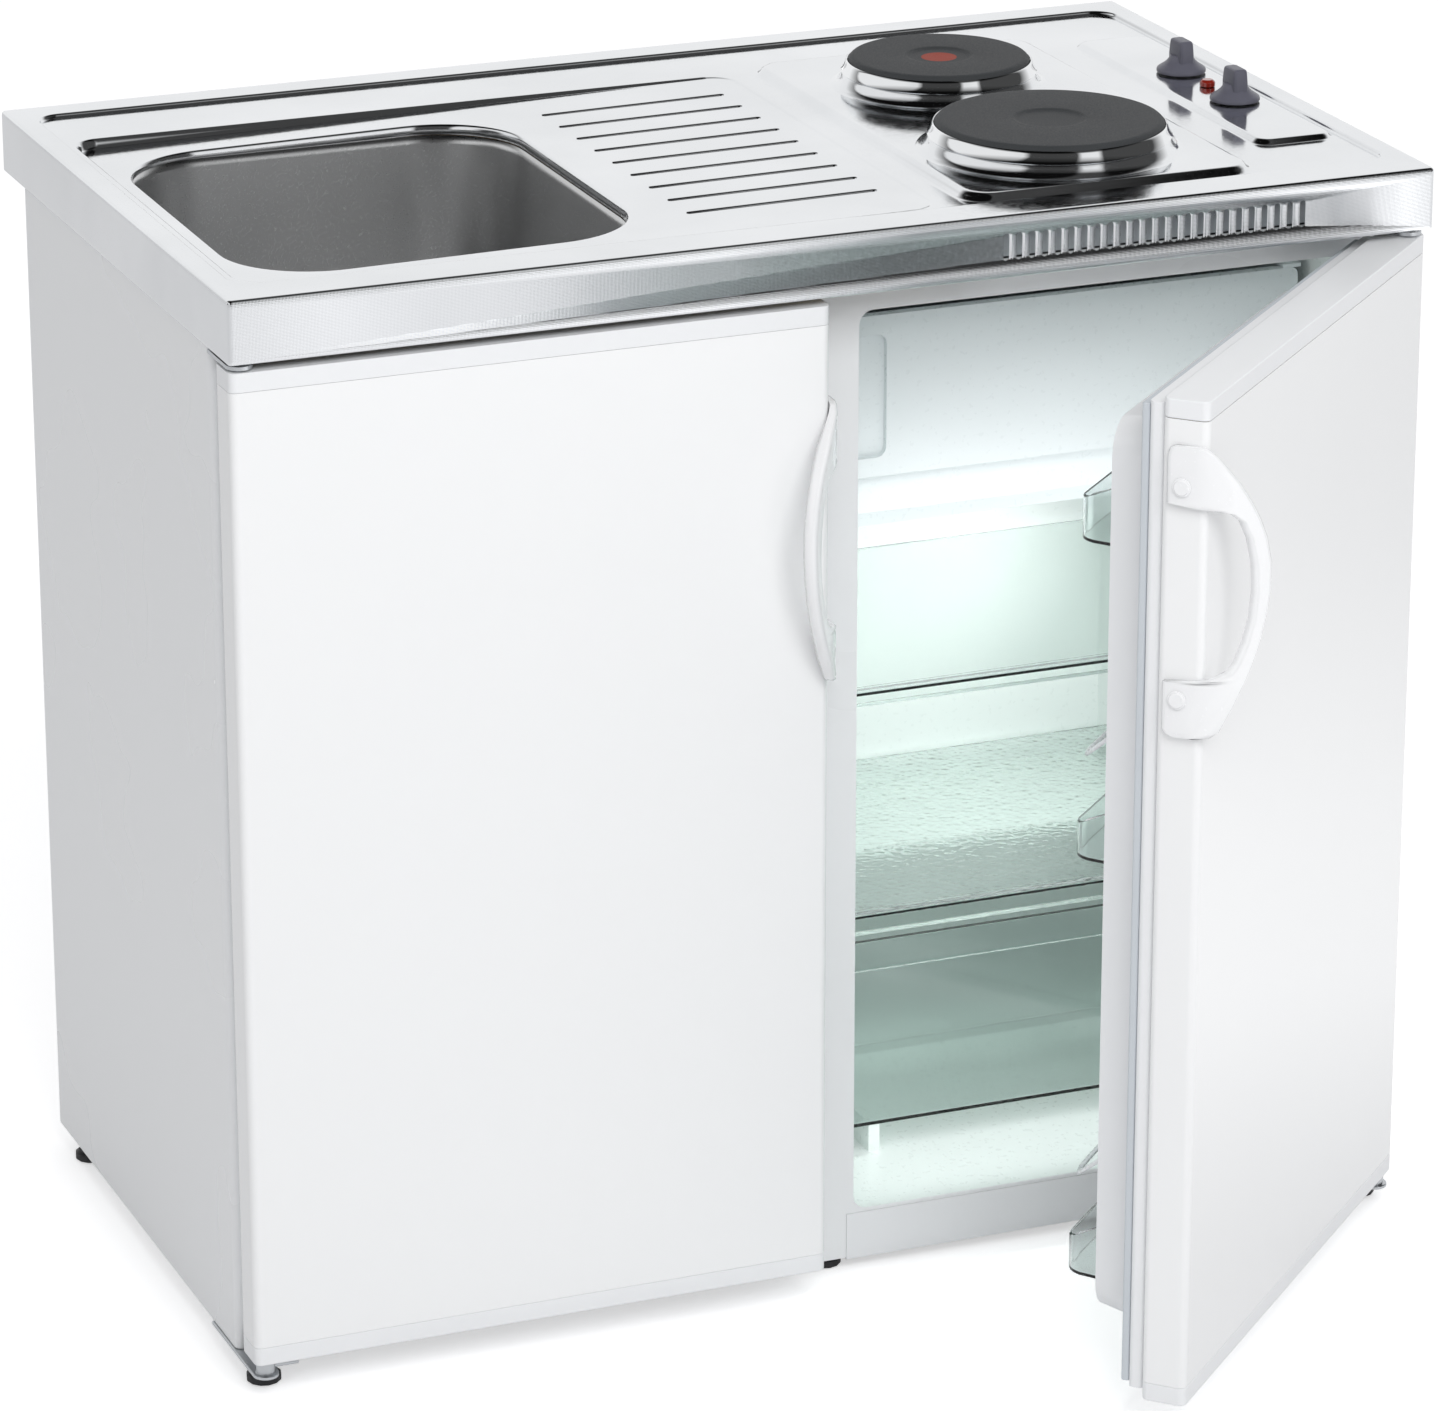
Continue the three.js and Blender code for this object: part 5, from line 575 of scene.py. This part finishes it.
def worktop():
    """One pressed sheet: rim, field, drainer with grooves, bowl lip, hob and control panels."""
    begin()
    rim = [rounded_loop(inset - HALF_LENGTH, HALF_LENGTH - inset, inset - HALF_DEPTH,
                        HALF_DEPTH - inset, max(CORNER - inset, 0.4), height, 6)
           for inset, height in RIM_CURVE]
    skin(rim)
    field = press(FIELD_AREA, 22, TOP, FIELD, 3)
    drainer = press(DRAINER_AREA, 24, FIELD, drainer_height, 5)
    hob = press(HOB_AREA, 28, FIELD, HOB, 9)
    controls = press(CONTROL_AREA, 16, FIELD, CONTROLS, 7)
    grooves = []
    half = GROOVES["half"]
    for index in range(GROOVES["count"]):
        y = GROOVES["middle"] + (index - GROOVES["count"] // 2) * GROOVES["pitch"]
        area = (GROOVES["x0"], GROOVES["x1"], y - half, y + half)
        loops = press(area, 3.55, drainer_height, groove_floor, 2.4, 5)
        fill(loops[1])
        grooves.append(loops[0])
    lip = [bowl_loop(inset, lambda x, y, d=depth: drainer_height(x, y) - d, 16)
           for inset, depth in LIP_CURVE]
    skin(lip)
    for plate in (SMALL_PLATE, LARGE_PLATE):
        skin([round_loop(PLATE_X, plate["y"], plate["radius"] + out, HOB + rise)
              for out, rise in SEAT_CURVE])
    fill(rim[-1], field[0])
    fill(field[1], drainer[0], hob[0], controls[0])
    fill(drainer[1], lip[0], *grooves)
    fill(hob[1])
    fill(controls[1])
    piece = complete("pressed_worktop", "worktop", "worktop_steel", angle=60)
    top = max(piece.data.polygons, key=lambda face: face.area)
    if top.normal.z < 0:
        piece.data.flip_normals()
    apply_modifier(piece, "SOLIDIFY", thickness=SHEET * MM, offset=-1)
    cutter = vent_cutter()
    apply_modifier(piece, "BOOLEAN", object=cutter, operation="DIFFERENCE", solver="EXACT")
    bpy.data.objects.remove(cutter)
    return piece


def vent_cutter():
    """The upright slots in the rim's front, as one body."""
    bpy.ops.object.select_all(action="DESELECT")
    first = mm(*VENTS["first"])
    bpy.ops.mesh.primitive_cube_add(size=1, location=first)
    slot = bpy.context.object
    bpy.ops.object.mode_set(mode="EDIT")
    bpy.ops.transform.resize(value=mm(*VENTS["size"]), center_override=first)
    mesh = bmesh.from_edit_mesh(slot.data)
    bpy.ops.mesh.select_all(action="DESELECT")
    for edge in mesh.edges:
        along = edge.verts[0].co - edge.verts[1].co
        if abs(along.y) > 0.01:
            edge.select_set(True)
    bmesh.update_edit_mesh(slot.data)
    bpy.ops.mesh.bevel(offset=VENTS["corner"] * MM, segments=6, affect="EDGES")
    bpy.ops.object.mode_set(mode="OBJECT")
    bpy.ops.object.transform_apply(location=True, rotation=True, scale=True)
    apply_modifier(slot, "ARRAY", count=VENTS["count"], use_relative_offset=False,
                   use_constant_offset=True,
                   constant_offset_displace=mm(VENTS["pitch"], 0, 0))
    return slot


# Inset and depth of the bowl's wall, and radius and depth of the dip round its drain.
WALL_CURVE = [(2.75, 5), (3.4, 12), (5.2, 30), (7.6, 55), (10.2, 80), (13, 104), (15.5, 120),
              (18.5, 131), (23, 139), (29, 144.5), (37, 148), (48, 149.8), (62, 150.5)]
DRAIN_CURVE = [(52, 151), (44, 151.6), (40, 152.4)]


def sink_bowl():
    """Deep-drawn bowl with a dip round its drain."""
    begin()
    loops = [bowl_loop(inset, BOWL_EDGE - depth, 14) for inset, depth in WALL_CURVE]
    skin(loops)
    drain = [round_loop(*BOWL_MIDDLE, radius, BOWL_EDGE - depth, 60)
             for radius, depth in DRAIN_CURVE]
    skin(drain)
    fill(loops[-1], drain[0])
    piece = complete("drawn_bowl", "sink_bowl", "bowl_steel", angle=60)
    floor = max(piece.data.polygons, key=lambda face: face.area * abs(face.normal.z))
    if floor.normal.z < 0:
        piece.data.flip_normals()
    apply_modifier(piece, "SOLIDIFY", thickness=BOWL_SHEET * MM, offset=-1)
    return piece


# ---------------------------------------------------------------- hob

PLATE_TOP = 922


def hotplate(name, node, finish, y, radius, dish):
    """Cast plate: bevelled rim, very slightly crowned face and a dished middle."""
    begin()
    profile = [(radius - 20, -12.5), (radius, -12.2), (radius, -3.8), (radius - 0.4, -2.8),
               (radius - 1.4, -1.6), (radius - 2.6, -0.6), (radius - 4, -0.1), (radius - 6, 0),
               (radius * 0.6, -0.1), (dish + 1.5, -0.1), (dish + 0.6, -0.2), (dish - 0.6, -0.8),
               (dish - 2.4, -1.6), (dish - 5, -1.9), (dish - 9, -2), (4, -2)]
    loops = [round_loop(PLATE_X, y, reach, PLATE_TOP + rise, 128) for reach, rise in profile]
    skin(loops)
    fill(loops[-1])
    fill(loops[0])
    return complete(name, node, "cast_iron", finish, angle=50)


def spill_ring(name, node, y, radius):
    """Rolled ring: it leans out from the plate's edge to a turned-in foot."""
    begin()
    profile = [(0.35, -4.8), (0.5, -3.7), (1.0, -3.4), (1.6, -3.9), (2.2, -5.2), (3.3, -7.8),
               (4.6, -10.6), (5.6, -12.1), (5.9, -12.5), (5.2, -12.65), (3, -12.6), (-6, -12.6),
               (-6, -11.8), (2.6, -11.6), (1.4, -8)]
    loops = [round_loop(PLATE_X, y, radius + out, PLATE_TOP + rise, 128) for out, rise in profile]
    skin(loops + loops[:1])
    return complete(name, node, "chrome", angle=50)


KNOB_X = 444
KNOB_REAR_Y, KNOB_FRONT_Y = 46, -55


def hob_knob(name, node, y):
    """Knob with a thin flange, a hollowed cone and a tall tapered bar."""
    begin()
    skirt = [(20.2, 1.2), (20.5, 1.6), (20.5, 3.2), (20, 4.4), (18.4, 5.6), (15, 7.8), (12.2, 10.2),
             (10.4, 12.6), (9.6, 14.6), (9, 15.4)]
    loops = [round_loop(KNOB_X, y, radius, CONTROLS + rise, 64) for radius, rise in skirt]
    skin(loops)
    fill(loops[0])
    fill(loops[-1])
    bar = [(0, 0, 9), (0, 0, 16), (0.25, 0.6, 21), (0.6, 1.3, 25.6), (1.0, 1.9, 27.2),
           (1.9, 2.8, 27.9), (3.2, 4.2, 28)]
    loops = [rounded_loop(KNOB_X - 6.5 + dx, KNOB_X + 6.5 - dx, y - 12 + dy, y + 12 - dy,
                          2.6 - min(dx, 0.6), CONTROLS + rise, 5) for dx, dy, rise in bar]
    skin(loops)
    fill(loops[0])
    fill(loops[-1])
    return complete(name, node, "knob_plastic", angle=35)


worktop()
sink_bowl()
for size, plate in (("small", SMALL_PLATE), ("large", LARGE_PLATE)):
    hotplate(size + "_hotplate", "hotplate_" + size, size + "_plate",
             plate["y"], plate["radius"], plate["dish"])
    spill_ring(size + "_spill_ring", "spill_ring_" + size, plate["y"], plate["radius"])
hob_knob("rear_knob", "hob_knob_rear", KNOB_REAR_Y)
hob_knob("front_knob", "hob_knob_front", KNOB_FRONT_Y)

# ---------------------------------------------------------------- rounded-over pieces

softened("waste_outlet", "chrome", width=0.5)
softened("sink_plug", "chrome", width=0.6)
softened("waste_trap", "white_plastic", width=0.8)
softened("indicator_lamp", "red_lens", width=0.6, segments=3)
for place in ("rear", "front"):
    softened("hob_switch_" + place, "black_plastic", width=0.8)
softened("stiffening_board", "board", width=0.3)
for node in ("side_panel_left", "cupboard_floor", "cupboard_back", "centre_post"):
    softened(node, "white_steel", width=0.3)
softened("top_frame", "zinc", width=0.3)
for side in ("left", "right"):
    softened("lower_hinge_" + side, "zinc", width=0.6)
for place in ("front_left", "front_right", "front_middle", "back_left", "back_right"):
    softened("foot_" + place, "black_plastic", width=0.5)
softened("fridge_case", "white_steel", "case_steel", width=0.25)
softened("fridge_liner", "liner_plastic", width=0.6, segments=3)
softened("kick_strip", "white_plastic", width=0.6)
softened("condenser", "black_metal", width=0, angle=70)
softened("compressor", "black_metal", width=1.2, angle=40)
softened("terminal_box", "black_plastic", width=0.8)
softened("freezer_compartment", "white_plastic", "flap_plastic", width=0.5)
softened("freezer_flap", "liner_plastic", "flap_plastic", width=1.2, segments=3)
softened("crisper_drawer", "clear_plastic", width=0.5)
softened("thermostat_housing", "white_plastic", width=1.5, segments=3)
softened("thermostat_dial", "grey_plastic", width=0.6)
softened("glass_shelf_upper", "shelf_glass", width=0.3)
softened("glass_shelf_lower", "shelf_glass", "figured_glass", width=0.3)
for door in ("fridge", "cupboard"):
    softened(door + "_door_panel", "white_steel", "door_steel", width=0)
for end in ("top", "bottom"):
    softened("fridge_door_cap_" + end, "white_plastic", width=1.0, segments=3)
    softened("cupboard_door_cap_" + end, "white_plastic", width=1.0, segments=3)
softened("fridge_door_liner", "liner_plastic", "white_plastic", width=1.0, segments=3)
softened("cupboard_door_inner_panel", "white_plastic", width=0.8)
softened("fridge_door_gasket", "gasket_rubber", width=0.8)
for door in ("fridge", "cupboard"):
    softened(door + "_door_handle", "gloss_white", width=0, angle=60)
for place in ("upper", "lower"):
    softened("fridge_handle_screw_" + place, "gloss_white", width=0.6, segments=3)
for place in ("upper", "middle", "lower"):
    softened("door_rack_" + place, "clear_plastic", width=0.5)
for place in ("upper", "lower"):
    softened("bottle_wire_" + place, "coated_wire", width=0, angle=80)
for node in ("fridge_insulation", "fridge_door_foam"):
    frame["nodes"][node].data.materials.clear()
    frame["nodes"][node].data.materials.append(FINISH["foam"])

# ---------------------------------------------------------------- floor, light and camera

FLOOR_SIZE, FLOOR_LEVEL = 60, -0.0005
FLOOR_SEEN = 0.5


def stage_floor():
    """Pale floor that takes the object's shadow and shows white round it.

    What is mirrored of it is pale in front of the refrigerator and dark elsewhere.
    """
    bpy.ops.object.select_all(action="DESELECT")
    bpy.ops.mesh.primitive_plane_add(size=FLOOR_SIZE, location=(0, 0, FLOOR_LEVEL))
    floor = bpy.context.object
    floor.name = "studio_floor"
    material, nodes, links, shader = finish_of("studio_floor_paint", (0.86, 0.86, 0.87), 0.9)
    shader.inputs["Emission Color"].default_value = (1, 1, 1, 1)
    ray = nodes.new("ShaderNodeLightPath")
    axes = axes_of(nodes, links, place_of(nodes, links))
    pale = spread(nodes, links, axes["X"], 0.1, 0.75, 0.45, 0.95)
    fading = spread(nodes, links, axes["X"], 1.0, 0.4, 1.3, 2.2)
    before = math_of(nodes, links, "MULTIPLY", pale, fading)
    rear = spread(nodes, links, axes["Y"], 0.0, 0.15, -0.5, 0.5)
    mirrored = math_of(nodes, links, "MULTIPLY", ray.outputs["Is Glossy Ray"],
                       math_of(nodes, links, "MAXIMUM", before, rear))
    seen = math_of(nodes, links, "MULTIPLY", ray.outputs["Is Camera Ray"], FLOOR_SEEN)
    links.new(math_of(nodes, links, "ADD", seen, mirrored), shader.inputs["Emission Strength"])
    floor.data.materials.append(material)


FACING = (-0.37, -0.93, 0)      # from the object towards the camera
PLAIN_LIGHT = 0.6


def studio_world():
    """White studio, with plain light on the object.

    What is mirrored of it has a dark ceiling, light walls on the far side and, round the camera,
    dark walls with upright panels of light.
    """
    world = bpy.data.worlds.new("studio")
    bpy.context.scene.world = world
    world.use_nodes = True
    nodes, links = world.node_tree.nodes, world.node_tree.links
    background = nodes["Background"]
    background.inputs["Color"].default_value = (0.99, 0.995, 1, 1)
    place = nodes.new("ShaderNodeTexCoord")
    axes = axes_of(nodes, links, place.outputs["Generated"])
    ceiling = spread(nodes, links, axes["Z"], 0.95, 0.06, 0.5, 0.75)
    toward = nodes.new("ShaderNodeVectorMath")
    toward.operation = "DOT_PRODUCT"
    toward.inputs[1].default_value = FACING
    links.new(place.outputs["Generated"], toward.inputs[0])
    walls = spread(nodes, links, toward.outputs["Value"], 1.0, 0.07, -0.7, -0.4)
    panels = math_of(nodes, links, "SINE", math_of(nodes, links, "MULTIPLY", axes["X"], 6.0))
    panel_light = spread(nodes, links, panels, 0.0, 0.95, 0.35, 0.75)
    studio = math_of(nodes, links, "MAXIMUM", walls, panel_light)
    mirrored = math_of(nodes, links, "MULTIPLY", ceiling, studio)
    ray = nodes.new("ShaderNodeLightPath")
    glossy = math_of(nodes, links, "MULTIPLY", mirrored, ray.outputs["Is Glossy Ray"])
    plain = math_of(nodes, links, "MULTIPLY", ray.outputs["Is Diffuse Ray"], PLAIN_LIGHT)
    clear = math_of(nodes, links, "MAXIMUM", ray.outputs["Is Camera Ray"],
                    ray.outputs["Is Transmission Ray"])
    level = math_of(nodes, links, "MAXIMUM",
                    math_of(nodes, links, "MAXIMUM", glossy, plain), clear)
    links.new(level, background.inputs["Strength"])


def softbox(name, place, target, width, height, power):
    """An area lamp that lights the object and isn't seen, mirrored or seen through glass."""
    light = bpy.data.lights.new(name, "AREA")
    light.shape = "RECTANGLE"
    light.size, light.size_y, light.energy = width, height, power
    lamp = bpy.data.objects.new(name, light)
    bpy.context.scene.collection.objects.link(lamp)
    lamp.location = place
    lamp.rotation_euler = (Vector(target) - Vector(place)).to_track_quat("-Z", "Y").to_euler()
    lamp.visible_camera = False
    lamp.visible_glossy = False
    lamp.visible_transmission = False


CAMERA_PLACE = (-1.9003, -4.7493, 2.2566)
CAMERA_ANGLES = (-21.921, 19.836, -0.053)       # degrees: yaw, pitch and roll
PHOTO_WIDTH, FOCAL_LENGTH = 1439, 6572          # pixels
SENSOR = 36


def camera():
    """Stands where the photograph was taken from."""
    yaw, pitch, roll = (math.radians(angle) for angle in CAMERA_ANGLES)
    ahead = Vector((-math.sin(yaw) * math.cos(pitch), math.cos(yaw) * math.cos(pitch),
                    -math.sin(pitch)))
    level = Vector((math.cos(yaw), math.sin(yaw), 0))
    above = level.cross(ahead)
    right = math.cos(roll) * level + math.sin(roll) * above
    up = math.cos(roll) * above - math.sin(roll) * level
    data = bpy.data.cameras.new("camera")
    data.sensor_fit = "HORIZONTAL"
    data.sensor_width = SENSOR
    data.lens = FOCAL_LENGTH / PHOTO_WIDTH * SENSOR
    data.clip_end = 100
    stand = bpy.data.objects.new("camera", data)
    bpy.context.scene.collection.objects.link(stand)
    turn = Matrix((right, up, -ahead)).transposed().to_4x4()
    stand.matrix_world = Matrix.Translation(CAMERA_PLACE) @ turn
    bpy.context.scene.camera = stand


stage_floor()
studio_world()
softbox("front_softbox", (-0.2, -3.1, 3.0), (0, 0, 0.5), 2.4, 1.8, 62)
softbox("cabinet_lamp", (0.415, -0.03, 0.545), (0.2, -0.02, 0.4), 0.05, 0.05, 1.2)
softbox("cabinet_fill", (0.25, -0.25, 0.36), (0.25, 0.2, 0.36), 0.4, 0.55, 0.85)
camera()
bpy.context.scene.view_settings.view_transform = "Standard"
